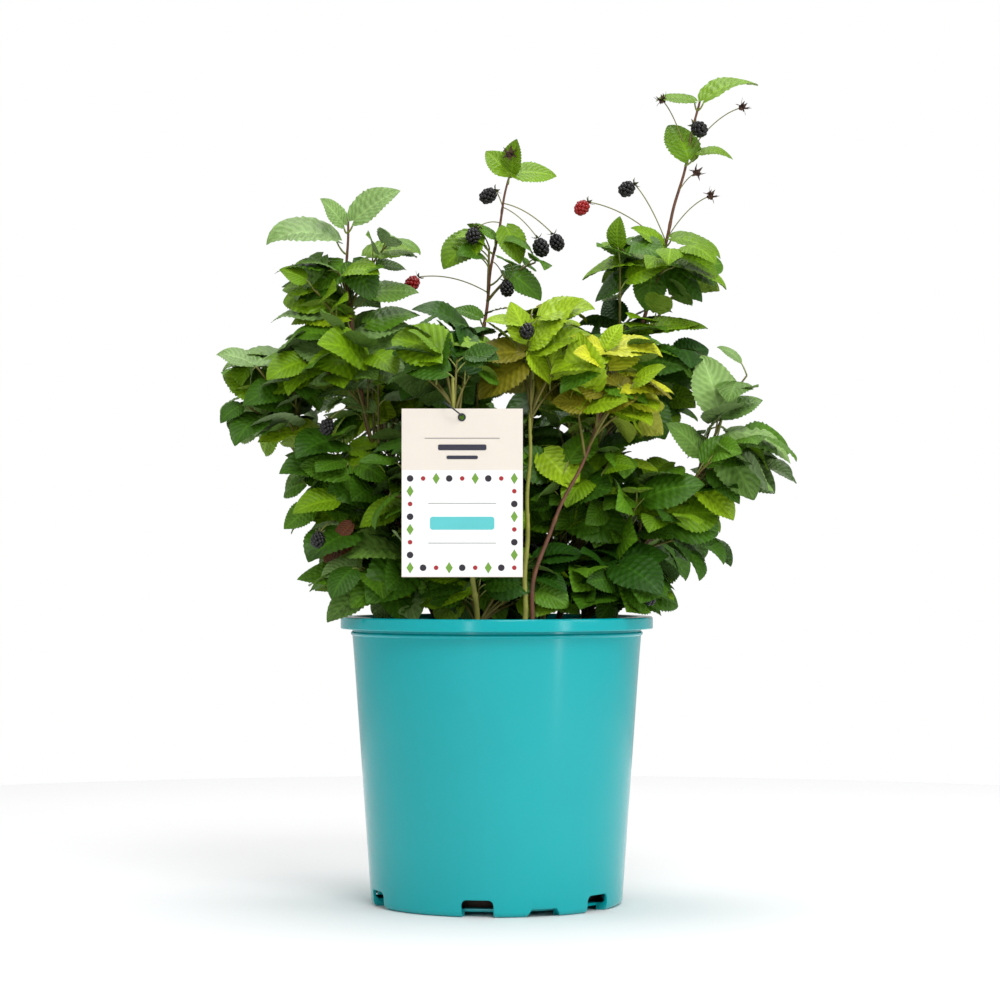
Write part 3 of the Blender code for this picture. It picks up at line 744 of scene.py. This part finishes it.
def leaf_material(tint):
    """A matt leaf: mottled, with painted shade darkening its folds, paler along its veins, and paler still
    underneath.
    """
    base = TINTS[tint]
    material = mottled("leaf " + tint, base, 0.92, 1.26, 70.0, 0.46, 0.55, 0.0012)
    tree, shader, mottle, bump = nodes_of(material)
    coords = tree.nodes.new("ShaderNodeUVMap")
    coords.uv_map = "Leaf"
    split = tree.nodes.new("ShaderNodeSeparateXYZ")
    tree.links.new(coords.outputs["UV"], split.inputs[0])
    geometry = tree.nodes.new("ShaderNodeNewGeometry").outputs

    def step(operation, *values):
        node = tree.nodes.new("ShaderNodeMath")
        node.operation = operation
        for socket, value in zip(node.inputs, values):
            if isinstance(value, float):
                socket.default_value = value
            else:
                tree.links.new(value, socket)
        return node.outputs[0]

    across = step("ABSOLUTE", step("SUBTRACT", split.outputs["X"], 0.5))
    midrib = step("LESS_THAN", across, MIDRIB_HALF_WIDTH)
    along = step("SUBTRACT", split.outputs["Y"], step("MULTIPLY", across, VEIN_SLANT))
    cycle = step("FRACT", step("MULTIPLY", along, VEIN_LINES))
    vein = step("GREATER_THAN", cycle, VEIN_START)
    lines = step("MULTIPLY", step("MAXIMUM", midrib, step("MULTIPLY", vein, 0.6)), 0.34)
    pleat = step("ABSOLUTE", step("SUBTRACT", cycle, 0.45))
    valley = step("MULTIPLY", pleat, step("MINIMUM", step("MULTIPLY", across, 9.0), 1.0))
    tree.links.new(step("MULTIPLY", valley, -1.0), bump.inputs["Height"])
    shade = ramp(tree, geometry["Random Per Island"], LEAF_SHADES).outputs["Color"]
    pale = colour([min(1.0, v * 1.2 + 0.12) for v in base])
    underside = colour([min(1.0, v * 0.72 + 0.17) for v in base])
    veined = blend(tree, lines, mottle.outputs["Color"], pale)
    # Painted shade: the pleats' valleys darkened in the leaf's colour itself
    painted_fold_shade = blend(tree, valley, veined, FOLD_PAINTED_SHADE, "MULTIPLY")
    varied = blend(tree, 1.0, painted_fold_shade, shade, "MULTIPLY")
    both = blend(tree, geometry["Backfacing"], varied, underside)
    tree.links.new(both, shader.inputs["Base Color"])
    shader.inputs["Specular IOR Level"].default_value = 0.3
    return material


def wall_radius(z):
    return WALL_BASE_RADIUS + (WALL_TOP_RADIUS - WALL_BASE_RADIUS) * z / POT_HEIGHT


def arc(middle, radius, start, end, steps):
    turns = [math.radians(start + (end - start) * i / steps) for i in range(steps + 1)]
    return [(middle[0] + radius * math.cos(a), middle[1] + radius * math.sin(a)) for a in turns]


def pot_profile():
    """The pot's closed section as radius and height, from the middle of its inside round to underneath."""
    floor = CHANNEL_RISE + WALL
    rim_low = POT_HEIGHT - RIM_DEPTH
    neck = POT_HEIGHT - 0.0025
    bead = POT_HEIGHT - BEAD_DROP
    inner_base = wall_radius(floor) - WALL
    inside = [(0.0, WALL), (PANEL_RADIUS - WALL, WALL), (PANEL_RADIUS + CHANNEL_SLOPE - WALL, floor),
              (inner_base - 0.002, floor), (inner_base, floor + 0.002),
              (wall_radius(POT_HEIGHT) - WALL, POT_HEIGHT - 0.0012)]
    inside += arc((wall_radius(POT_HEIGHT) - WALL + 0.0012, POT_HEIGHT - 0.0012), 0.0012, 180, 90, 4)[1:]
    rim = arc((RIM_RADIUS - 0.0016, POT_HEIGHT - 0.0016), 0.0016, 90, 0, 6)
    rim += [(RIM_RADIUS, rim_low + 0.0006), (RIM_RADIUS - 0.0005, rim_low),
            (RIM_RADIUS - RIM_WALL + 0.0003, rim_low), (RIM_RADIUS - RIM_WALL, rim_low + 0.0004),
            (RIM_RADIUS - RIM_WALL, neck), (wall_radius(neck), neck)]
    ridge = [(wall_radius(bead) + 0.0001, bead + BEAD_HEIGHT / 2 + 0.0006)]
    ridge += arc((wall_radius(bead), bead), BEAD_PROUD, 50, -50, 6)
    ridge += [(wall_radius(bead) + 0.0001, bead - BEAD_HEIGHT / 2 - 0.0006)]
    foot = arc((wall_radius(BASE_ROUND) - BASE_ROUND, BASE_ROUND), BASE_ROUND, 0, -90, 7)
    under = [(RING_INNER_RADIUS, 0.0), (RING_INNER_RADIUS, CHANNEL_RISE),
             (PANEL_RADIUS + CHANNEL_SLOPE, CHANNEL_RISE), (PANEL_RADIUS, 0.0), (0.0, 0.0)]
    wall = [(wall_radius(z), z) for z in WALL_LEVELS]
    return inside + rim + ridge + wall + foot + under


def radial_prism(outline, turn):
    """A cutter that runs an outline outwards through the wall."""
    bm = bmesh.new()
    out = Vector((math.sin(turn), -math.cos(turn), 0.0))
    side = Vector((math.cos(turn), math.sin(turn), 0.0))
    start = out * CUT_INNER_RADIUS
    face = bm.faces.new([bm.verts.new(start + side * u + Vector((0, 0, z))) for u, z in outline])
    run = bmesh.ops.extrude_face_region(bm, geom=[face])
    moved = [v for v in run["geom"] if isinstance(v, bmesh.types.BMVert)]
    bmesh.ops.translate(bm, verts=moved, vec=out * (CUT_OUTER_RADIUS - CUT_INNER_RADIUS))
    bmesh.ops.recalc_face_normals(bm, faces=bm.faces)
    mesh = bpy.data.meshes.new("cutter")
    bm.to_mesh(mesh)
    bm.free()
    obj = bpy.data.objects.new("cutter", mesh)
    bpy.context.collection.objects.link(obj)
    return obj


def window_outline():
    half = WINDOW_WIDTH / 2
    right = arc((half - WINDOW_CORNER, WINDOW_HEIGHT - WINDOW_CORNER), WINDOW_CORNER, 0, 90, 6)
    left = [(-u, z) for u, z in reversed(right)]
    return [(-half, -CUT_BELOW), (half, -CUT_BELOW)] + right + left


def notch_outline():
    low = NOTCH_BOTTOM_WIDTH / 2
    high = NOTCH_TOP_WIDTH / 2
    spread = low + (low - high) * CUT_BELOW / NOTCH_HEIGHT
    return [(-spread, -CUT_BELOW), (spread, -CUT_BELOW), (high, NOTCH_HEIGHT), (-high, NOTCH_HEIGHT)]


class BRAMBLE_OT_pot(bpy.types.Operator):
    """Turn the moulded pot, with its rolled rim, bead and drainage openings"""
    bl_idname = "bramble.pot"
    bl_label = "Pot"

    def execute(self, context):
        settings = context.scene.bramble_pot
        bm = bmesh.new()
        points = [bm.verts.new((r, 0.0, z)) for r, z in pot_profile()]
        edges = [bm.edges.new(pair) for pair in zip(points, points[1:])]
        bmesh.ops.spin(bm, geom=points + edges, cent=(0, 0, 0), axis=(0, 0, 1), angle=math.tau,
                       steps=POT_STEPS, use_merge=True, use_duplicate=False)
        bmesh.ops.remove_doubles(bm, verts=bm.verts, dist=1e-6)
        bmesh.ops.recalc_face_normals(bm, faces=bm.faces)
        mesh = bpy.data.meshes.new("nursery_pot")
        bm.to_mesh(mesh)
        bm.free()
        pot = bpy.data.objects.new("nursery_pot", mesh)
        context.collection.objects.link(pot)
        cutters = [radial_prism(window_outline(), WINDOW_TURN + i * math.tau / WINDOW_COUNT)
                   for i in range(WINDOW_COUNT)]
        cutters += [radial_prism(notch_outline(), NOTCH_TURN + i * math.tau / NOTCH_COUNT)
                    for i in range(NOTCH_COUNT)]
        for cutter in cutters:
            modifier = pot.modifiers.new("opening", "BOOLEAN")
            modifier.solver = "EXACT"
            modifier.object = cutter
        bevel = pot.modifiers.new("moulded edges", "BEVEL")
        bevel.width = MOULDED_EDGE
        bevel.segments = 2
        bevel.limit_method = "ANGLE"
        bevel.angle_limit = math.radians(50)
        depsgraph = context.evaluated_depsgraph_get()
        pot_mesh = bpy.data.meshes.new_from_object(pot.evaluated_get(depsgraph))
        pot.modifiers.clear()
        pot.data = pot_mesh
        for cutter in cutters:
            bpy.data.objects.remove(cutter, do_unlink=True)
        pot_mesh.shade_smooth()
        pot_mesh.set_sharp_from_angle(angle=math.radians(35))
        base = tuple(settings.colour)
        material = mottled("pot plastic", base, 0.97, 1.03, 9.0, settings.roughness, 0.05, 0.0002)
        tree, shader, _, _ = nodes_of(material)
        scuffs = noise(tree, 4.0)
        scuffs.inputs["Scale"].default_value = 14.0
        rough = ramp(tree, scuffs.outputs["Fac"], SCUFFS)
        tree.links.new(rough.outputs["Color"], shader.inputs["Roughness"])
        shader.inputs["Specular IOR Level"].default_value = 0.35
        shader.inputs["Coat Weight"].default_value = 0.06
        shader.inputs["Coat Roughness"].default_value = 0.20
        finished(pot, material, ("pot",))
        return {"FINISHED"}


class BRAMBLE_OT_mix(bpy.types.Operator):
    """Fill the pot with crumbly bark mix"""
    bl_idname = "bramble.mix"
    bl_label = "Potting mix"

    def execute(self, context):
        rng = random.Random(7)
        pile = Pile()
        edge = wall_radius(MIX_TOP) - WALL - MIX_GAP

        def circle(radius, z, lumps):
            points = []
            for k in range(MIX_SEGMENTS):
                turn = math.tau * k / MIX_SEGMENTS
                lump = rng.uniform(-0.0016, 0.0018) if lumps else 0.0
                points.append((radius * math.cos(turn), radius * math.sin(turn), z + lump))
            return points

        def band(first, second):
            for k in range(MIX_SEGMENTS):
                n = (k + 1) % MIX_SEGMENTS
                faces.append((first + k, second + k, second + n, first + n))

        verts = [(0.0, 0.0, MIX_TOP)]
        for i in range(1, MIX_RINGS + 1):
            verts += circle(edge * i / MIX_RINGS, MIX_TOP - 0.0008, i < MIX_RINGS)
        for radius, z in ((wall_radius(0.022) - WALL - 0.0005, 0.022), (0.080, 0.0058)):
            verts += circle(radius, z, False)
        faces = [(0, 1 + k, 1 + (k + 1) % MIX_SEGMENTS) for k in range(MIX_SEGMENTS)]
        for i in range(MIX_RINGS + 1):
            band(1 + i * MIX_SEGMENTS, 1 + (i + 1) * MIX_SEGMENTS)
        faces.append(tuple(range(len(verts) - 1, len(verts) - 1 - MIX_SEGMENTS, -1)))
        pile.add(verts, faces)
        for _ in range(CHIPS):
            radius = edge * 0.97 * math.sqrt(rng.random())
            turn = rng.uniform(0, math.tau)
            size = rng.uniform(0.0015, 0.0050)
            middle = Vector((radius * math.cos(turn), radius * math.sin(turn), MIX_TOP))
            add_chip(pile, rng, middle, size, edge)
        material = mottled("bark mix", (0.17, 0.125, 0.095), 0.45, 1.5, 160.0, 0.95, 0.6, 0.001)
        mix = pile.piece("bark_mix", material, "potting_mix", ("potting_mix",))
        mix.data.shade_flat()
        return {"FINISHED"}


def add_chip(pile, rng, middle, size, edge):
    """A small flat chip of bark lying on the mix."""
    turn = rng.uniform(0, math.tau)
    long = Vector((math.cos(turn), math.sin(turn), rng.uniform(-0.3, 0.3))).normalized() * size
    wide = Vector((-math.sin(turn), math.cos(turn), rng.uniform(-0.3, 0.3))).normalized() * size
    wide *= rng.uniform(0.3, 0.7)
    high = Vector((0, 0, 1)) * size * rng.uniform(0.15, 0.40)
    verts = []
    for c in (-1, 1):
        for a, b in ((-1, -1), (1, -1), (1, 1), (-1, 1)):
            point = middle + (long * a + wide * b) * rng.uniform(0.35, 0.55) + high * c * 0.5
            flat = math.hypot(point.x, point.y)
            if flat > edge:
                point = Vector((point.x * edge / flat, point.y * edge / flat, point.z))
            verts.append(tuple(point))
    faces = [(3, 2, 1, 0), (4, 5, 6, 7), (0, 1, 5, 4), (1, 2, 6, 5), (2, 3, 7, 6), (3, 0, 4, 7)]
    pile.add(verts, faces)


class BRAMBLE_OT_canes(bpy.types.Operator):
    """Grow the canes from the mix, with joints, ridges and a zigzag from leaf to leaf"""
    bl_idname = "bramble.canes"
    bl_label = "Canes"

    def execute(self, context):
        rng = random.Random(3)
        piles = {key: Pile() for key in BARKS}
        named = {key: [] for key in BARKS}
        for name in CANES:
            points, radii = cane_path(name, CANE_STEPS)
            key = "brown" if name in BROWN_CANES else "green"
            ridges = rng.uniform(0, math.tau)
            reach = sum((b - a).length for a, b in zip(points, points[1:]))
            joints = max(5.0, reach / JOINT_SPACING)
            for i in range(CANE_STEPS):
                t = i / (CANE_STEPS - 1)
                points[i] = points[i] + ZIGZAG * math.sin(math.pi * joints * t) * min(1, 9 * t)
                near = abs((t * joints) % 1.0 - 0.5) * 2
                radii[i] *= (1.0 + JOINT_SWELL * max(0.0, near - 0.88) / 0.12) * (1.0 - CANE_TAPER * t)

            def bark(i, k, ridges=ridges):
                turn = BARK_RIDGES * math.tau * k / CANE_SIDES + ridges
                return 0.05 * math.sin(turn) + rng.uniform(-0.03, 0.03)

            piles[key].add(*tube(points, radii, CANE_SIDES, bark))
            named[key].append(name)
        for key, pile in piles.items():
            base, low, high = BARKS[key]
            material = mottled("bark " + key, base, low, high, 120.0, 0.6, 0.5, 0.0006)
            pile.piece("canes_" + key, material, "canes", tuple(named[key]))
        return {"FINISHED"}


class BRAMBLE_OT_leaves(bpy.types.Operator):
    """Grow the twigs and sprays of toothed leaves that fill each mass"""
    bl_idname = "bramble.leaves"
    bl_label = "Leaves"

    def execute(self, context):
        foliage = Foliage(11)
        outline_leaves(foliage)
        grow_sprays(foliage)
        nodes = tuple(name for group in SPRAYS.values() for name, _, _ in group)
        for tint, pile in foliage.leaves.items():
            if pile.count:
                pile.piece("leaves_" + tint, leaf_material(tint), "leaves", nodes)
                nodes = ()
        green = mottled("leaf stalk", (0.52, 0.56, 0.26), 0.75, 1.2, 90.0, 0.55, 0.3, 0.0003)
        brown = mottled("twig", (0.40, 0.38, 0.14), 0.7, 1.25, 90.0, 0.6, 0.3, 0.0003)
        foliage.stalks.piece("leaf_stalks", green, "canes")
        foliage.twigs.piece("twigs", brown, "canes")
        return {"FINISHED"}


def ball(radius, steps=2):
    """A small round ball's points and faces."""
    bm = bmesh.new()
    bmesh.ops.create_icosphere(bm, subdivisions=steps, radius=radius)
    bm.verts.ensure_lookup_table()
    verts = np.array([tuple(v.co) for v in bm.verts])
    faces = [tuple(v.index for v in f.verts) for f in bm.faces]
    bm.free()
    return verts, faces


def add_sepals(pile, rng, middle, axis, reach, droop, first=0.0):
    """Five pointed sepals round a stalk's end."""
    side = axis.orthogonal().normalized()
    other = axis.cross(side)
    for i in range(5):
        turn = first + math.tau * i / 5 + rng.uniform(-0.15, 0.15)
        out = side * math.cos(turn) + other * math.sin(turn)
        across = axis.cross(out)
        verts = []
        for s in (0.0, 0.35, 0.7, 1.0):
            width = 0.34 * reach * (1.0 - s) ** 0.7 + 0.02 * reach
            place = middle + out * reach * s + axis * reach * (droop * s * s)
            row = (place - across * width, place + axis * 0.0003, place + across * width)
            verts += [tuple(point) for point in row]
        faces = []
        for a in (0, 3, 6):
            faces += [(a, a + 1, a + 4, a + 3), (a + 1, a + 2, a + 5, a + 4)]
        pile.add(verts, faces)


def add_berry(pile, rng, middle, axis, size):
    """Drupelets wound round a core. The pile takes them all."""
    side = axis.orthogonal().normalized()
    other = axis.cross(side)
    drupelet, faces = ball(DRUPELET_RADIUS)
    for i in range(DRUPELETS):
        level = 1 - 2 * (i + 0.5) / DRUPELETS
        turn = i * GOLDEN_TURN
        flat = math.sqrt(1 - level * level)
        out = side * math.cos(turn) * flat + other * math.sin(turn) * flat
        spread = 0.74 * BERRY_RADIUS * size * rng.uniform(0.95, 1.05)
        centre = middle + out * spread + axis * level * spread * 1.28
        pile.add(drupelet * size + np.array(tuple(centre)), faces)
    core, faces = ball(0.72 * BERRY_RADIUS * size)
    pile.add(core + np.array(tuple(middle)), faces)


def add_stalk(pile, root, top, sag, radius, steps):
    """A thin stalk that bows by a share of its length."""
    points = bowed(root, top, Vector((0, 0, sag * (root - top).length)), steps)
    pile.add(*tube(points, [radius] * (steps + 1), 6))


class BRAMBLE_OT_berries(bpy.types.Operator):
    """Hang the ripe and unripe berries and the spent calyxes on their long thin stalks"""
    bl_idname = "bramble.berries"
    bl_label = "Berries"

    def execute(self, context):
        rng = random.Random(5)
        piles = {kind: Pile() for kind in BERRY_FINISHES}
        stalks = Pile()
        caps = Pile()
        spent = Pile()
        for place, foot, depth, kind, cane in BERRIES:
            middle = spot(place, depth)
            root = cane_at(cane, foot)
            axis = ((root - middle).normalized() + Vector((0, 0, 1.2))).normalized()
            size = rng.uniform(0.92, 1.08)
            add_berry(piles[kind], rng, middle, axis, size)
            top = middle + axis * BERRY_RADIUS * 1.25 * size
            add_sepals(caps, rng, top, axis, 0.0046, 0.5)
            add_stalk(stalks, root, top, 0.09, BERRY_STALK_RADIUS, 14)
        for place, foot, depth, cane in SPENT:
            middle = spot(place, depth)
            root = cane_at(cane, foot)
            axis = (middle - root).normalized()
            add_sepals(spent, rng, middle, axis, 0.0062, -0.35)
            add_sepals(spent, rng, middle, axis, 0.0056, 0.9, 0.6)
            for _ in range(14):
                knob, faces = ball(rng.uniform(0.0008, 0.0015), 1)
                shift = Vector([rng.uniform(-1, 1) for _ in range(3)]) * 0.0019
                spent.add(knob + np.array(tuple(middle + shift)), faces)
            add_stalk(stalks, root, middle, 0.12, SPENT_STALK_RADIUS, 12)
        for kind, (base, low, high, rough) in BERRY_FINISHES.items():
            material = mottled("berry " + kind, base, low, high, 220.0, rough, 0.05, 0.0002)
            _, shader, _, _ = nodes_of(material)
            shader.inputs["Specular IOR Level"].default_value = 0.35
            shader.inputs["Coat Weight"].default_value = 0.15
            shader.inputs["Coat Roughness"].default_value = 0.12
            piles[kind].piece("berries_" + kind, material, "leaves")
        green = mottled("berry stalk", (0.50, 0.50, 0.26), 0.7, 1.2, 90.0, 0.6, 0.3, 0.0003)
        cap = mottled("calyx", (0.40, 0.42, 0.26), 0.7, 1.2, 300.0, 0.7, 0.4, 0.0003)
        dry = mottled("dry calyx", (0.19, 0.125, 0.09), 0.4, 1.9, 400.0, 0.85, 0.5, 0.0004)
        stalks.piece("berry_stalks", green, "canes")
        caps.piece("berry_calyxes", cap, "leaves")
        spent.piece("spent_calyxes", dry, "leaves")
        return {"FINISHED"}


def plate(outline, front, back):
    """A thin plate: an outline of (x, z) run from one depth to another."""
    count = len(outline)
    verts = [(x, front, z) for x, z in outline] + [(x, back, z) for x, z in outline]
    faces = [tuple(range(count)), tuple(range(2 * count - 1, count - 1, -1))]
    for k in range(count):
        n = (k + 1) % count
        faces.append((k, count + k, count + n, n))
    return verts, faces


def rounded_box(x0, z0, x1, z1, corner):
    """The outline of a box with round corners."""
    points = []
    for cx, cz, start in ((x1 - corner, z1 - corner, 0), (x0 + corner, z1 - corner, 90),
                          (x0 + corner, z0 + corner, 180), (x1 - corner, z0 + corner, 270)):
        points += arc((cx, cz), corner, start, start + 90, 5)
    return list(reversed(points))


class BRAMBLE_OT_label(bpy.types.Operator):
    """Hang the plain card label, with a generic printed design, on its tie"""
    bl_idname = "bramble.label"
    bl_label = "Label"

    def execute(self, context):
        low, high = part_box("plant_label")
        front = low.y
        wide = high.x - low.x
        mid = (low.x + high.x) / 2

        def printed(name, shapes, base, layer=2):
            pile = Pile()
            for outline in shapes:
                pile.add(*plate(outline, front - INK * layer, front - INK * (layer - 1)))
            material = mottled(name + " ink", base, 0.97, 1.02, 60.0, 0.5, 0.04, 0.0001)
            pile.piece(name, material, "label").data.shade_flat()

        card = mottled("card", CREAM, 0.98, 1.01, 40.0, 0.5, 0.12, 0.0002)
        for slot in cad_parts["plant_label"].material_slots:
            slot.material = card
        field = rounded_box(low.x + FIELD_INSET, low.z + FIELD_INSET, high.x - FIELD_INSET,
                            low.z + FIELD_HEIGHT, 0.001)
        printed("label_field", [field], WHITE, layer=1)
        rules = []
        for rise, share in RULES:
            left, right = mid - wide * share / 2, mid + wide * share / 2
            z = low.z + rise
            rules.append([(left, z), (left, z + RULE_THICKNESS), (right, z + RULE_THICKNESS), (right, z)])
        printed("label_rules", rules, RULE_GREY)
        bars = []
        for rise, share, thick in BARS:
            reach = wide * share / 2
            bars.append(rounded_box(mid - reach, low.z + rise, mid + reach, low.z + rise + thick, 0.0012))
        printed("label_bars", bars, BAR_INK)
        z = low.z + STRIP_RISE
        strip = rounded_box(mid - STRIP_HALF_WIDTH, z, mid + STRIP_HALF_WIDTH, z + STRIP_HEIGHT, 0.002)
        printed("label_band", [strip], STRIP_BLUE)
        motifs = {name: [] for name in MOTIF_COLOURS}
        for i in range(BORDER_COLUMNS):
            for row in range(BORDER_ROWS):
                if 0 < i < BORDER_COLUMNS - 1 and 0 < row < BORDER_ROWS - 1:
                    continue
                x = low.x + BORDER_INSET + i * (wide - 2 * BORDER_INSET) / (BORDER_COLUMNS - 1)
                z = low.z + BORDER_RISE + row * BORDER_STEP
                if (i + row) % 3 == 0:
                    diamond = [(x, z - 0.0042), (x - 0.0026, z), (x, z + 0.0042), (x + 0.0026, z)]
                    motifs["diamonds"].append(diamond)
                elif (i + row) % 3 == 1:
                    motifs["dots"].append(list(reversed(arc((x, z), 0.0024, 0, 337.5, 15))))
                else:
                    motifs["small_dots"].append(list(reversed(arc((x, z), 0.0017, 0, 330, 11))))
        for name, shapes in motifs.items():
            printed("label_" + name, shapes, MOTIF_COLOURS[name])
        wires = Pile()
        eyelet = ring(Vector((EYELET[0], front - 0.0003, EYELET[1])), Vector((1, 0, 0)), Vector((0, 0, 1)),
                      EYELET_RADIUS, 24)
        wires.add(*tube(eyelet, [EYELET_WIRE] * 25, 8))
        near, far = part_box("label_tie")
        across = Vector((-math.cos(TIE_LEAN), 0, math.sin(TIE_LEAN)))
        loop = ring((near + far) / 2, across, Vector((0, 1, 0)), (far.y - near.y) / 2 - 0.0006, 36)
        wires.add(*tube(loop, [TIE_WIRE] * 37, 8))
        material = mottled("tie", (0.12, 0.15, 0.17), 0.8, 1.3, 80.0, 0.5, 0.2, 0.0002)
        wires.piece("tie_ring", material, "tie", ("label_tie",))
        return {"FINISHED"}


class BRAMBLE_OT_stage(bpy.types.Operator):
    """Lay the plain pale floor, set the soft studio light and place the camera"""
    bl_idname = "bramble.stage"
    bl_label = "Stage"

    def execute(self, context):
        settings = context.scene.bramble_stage
        bm = bmesh.new()
        bmesh.ops.create_circle(bm, cap_ends=True, segments=128, radius=FLOOR_RADIUS)
        mesh = bpy.data.meshes.new("floor")
        bm.to_mesh(mesh)
        bm.free()
        floor = bpy.data.objects.new("floor", mesh)
        context.collection.objects.link(floor)
        material = mottled("floor", tuple(settings.floor_colour), 0.995, 1.0, 1.0, 0.7, 0.0)
        floor.data.materials.append(material)
        world = bpy.data.worlds.new("studio")
        world.use_nodes = True
        tree = world.node_tree
        sky = tree.nodes["Background"]
        sky.inputs["Color"].default_value = (1, 1, 1, 1)
        sky.inputs["Strength"].default_value = WORLD_LIGHT * settings.light
        seen = tree.nodes.new("ShaderNodeBackground")
        seen.inputs["Color"].default_value = (1, 1, 1, 1)
        pick = tree.nodes.new("ShaderNodeMixShader")
        path = tree.nodes.new("ShaderNodeLightPath")
        tree.links.new(path.outputs["Is Camera Ray"], pick.inputs[0])
        tree.links.new(sky.outputs[0], pick.inputs[1])
        tree.links.new(seen.outputs[0], pick.inputs[2])
        tree.links.new(pick.outputs[0], tree.nodes["World Output"].inputs["Surface"])
        context.scene.world = world
        context.scene.view_settings.view_transform = "Standard"
        for name, (place, (wide, high), power) in LAMPS.items():
            light = bpy.data.lights.new(name, "AREA")
            light.shape = "RECTANGLE"
            light.size = wide
            light.size_y = high
            light.energy = power * settings.light
            lamp = bpy.data.objects.new(name, light)
            lamp.location = place
            lamp.rotation_euler = (LAMP_AIM - Vector(place)).to_track_quat("-Z", "Y").to_euler()
            context.collection.objects.link(lamp)
        data = bpy.data.cameras.new("camera")
        data.sensor_width = SENSOR
        data.lens = SENSOR * PIXELS_PER_METRE * CAMERA_DISTANCE / PHOTO_SIDE
        data.clip_start = 0.05
        data.clip_end = 100.0
        camera = bpy.data.objects.new("camera", data)
        aside = (PHOTO_SIDE / 2 - AXIS_COLUMN) / PIXELS_PER_METRE
        camera.location = (aside, -CAMERA_DISTANCE, EYE_HEIGHT)
        aim = Vector((aside, 0.0, AIM_HEIGHT)) - camera.location
        camera.rotation_euler = aim.to_track_quat("-Z", "Y").to_euler()
        context.collection.objects.link(camera)
        context.scene.camera = camera
        return {"FINISHED"}


OPERATORS = (BRAMBLE_OT_stage, BRAMBLE_OT_pot, BRAMBLE_OT_mix, BRAMBLE_OT_canes, BRAMBLE_OT_leaves,
             BRAMBLE_OT_berries, BRAMBLE_OT_label)


class BRAMBLE_PT_panel(bpy.types.Panel):
    bl_idname = "BRAMBLE_PT_panel"
    bl_label = "Potted Bramble"
    bl_space_type = "VIEW_3D"
    bl_region_type = "UI"
    bl_category = "Bramble"

    def draw(self, context):
        scene = context.scene
        for group in (scene.bramble_pot, scene.bramble_leaf, scene.bramble_stage):
            for name in type(group).__annotations__:
                self.layout.prop(group, name)
        for operator in OPERATORS:
            self.layout.operator(operator.bl_idname)


CLASSES = (PotSettings, LeafSettings, StageSettings) + OPERATORS + (BRAMBLE_PT_panel,)


def register():
    for cls in CLASSES:
        bpy.utils.register_class(cls)
    bpy.types.Scene.bramble_pot = bpy.props.PointerProperty(type=PotSettings)
    bpy.types.Scene.bramble_leaf = bpy.props.PointerProperty(type=LeafSettings)
    bpy.types.Scene.bramble_stage = bpy.props.PointerProperty(type=StageSettings)


def unregister():
    del bpy.types.Scene.bramble_stage
    del bpy.types.Scene.bramble_leaf
    del bpy.types.Scene.bramble_pot
    for cls in reversed(CLASSES):
        bpy.utils.unregister_class(cls)


def main():
    register()
    bpy.ops.bramble.stage()
    bpy.ops.bramble.pot()
    bpy.ops.bramble.mix()
    bpy.ops.bramble.canes()
    bpy.ops.bramble.leaves()
    bpy.ops.bramble.berries()
    bpy.ops.bramble.label()


if __name__ == "__main__":
    main()
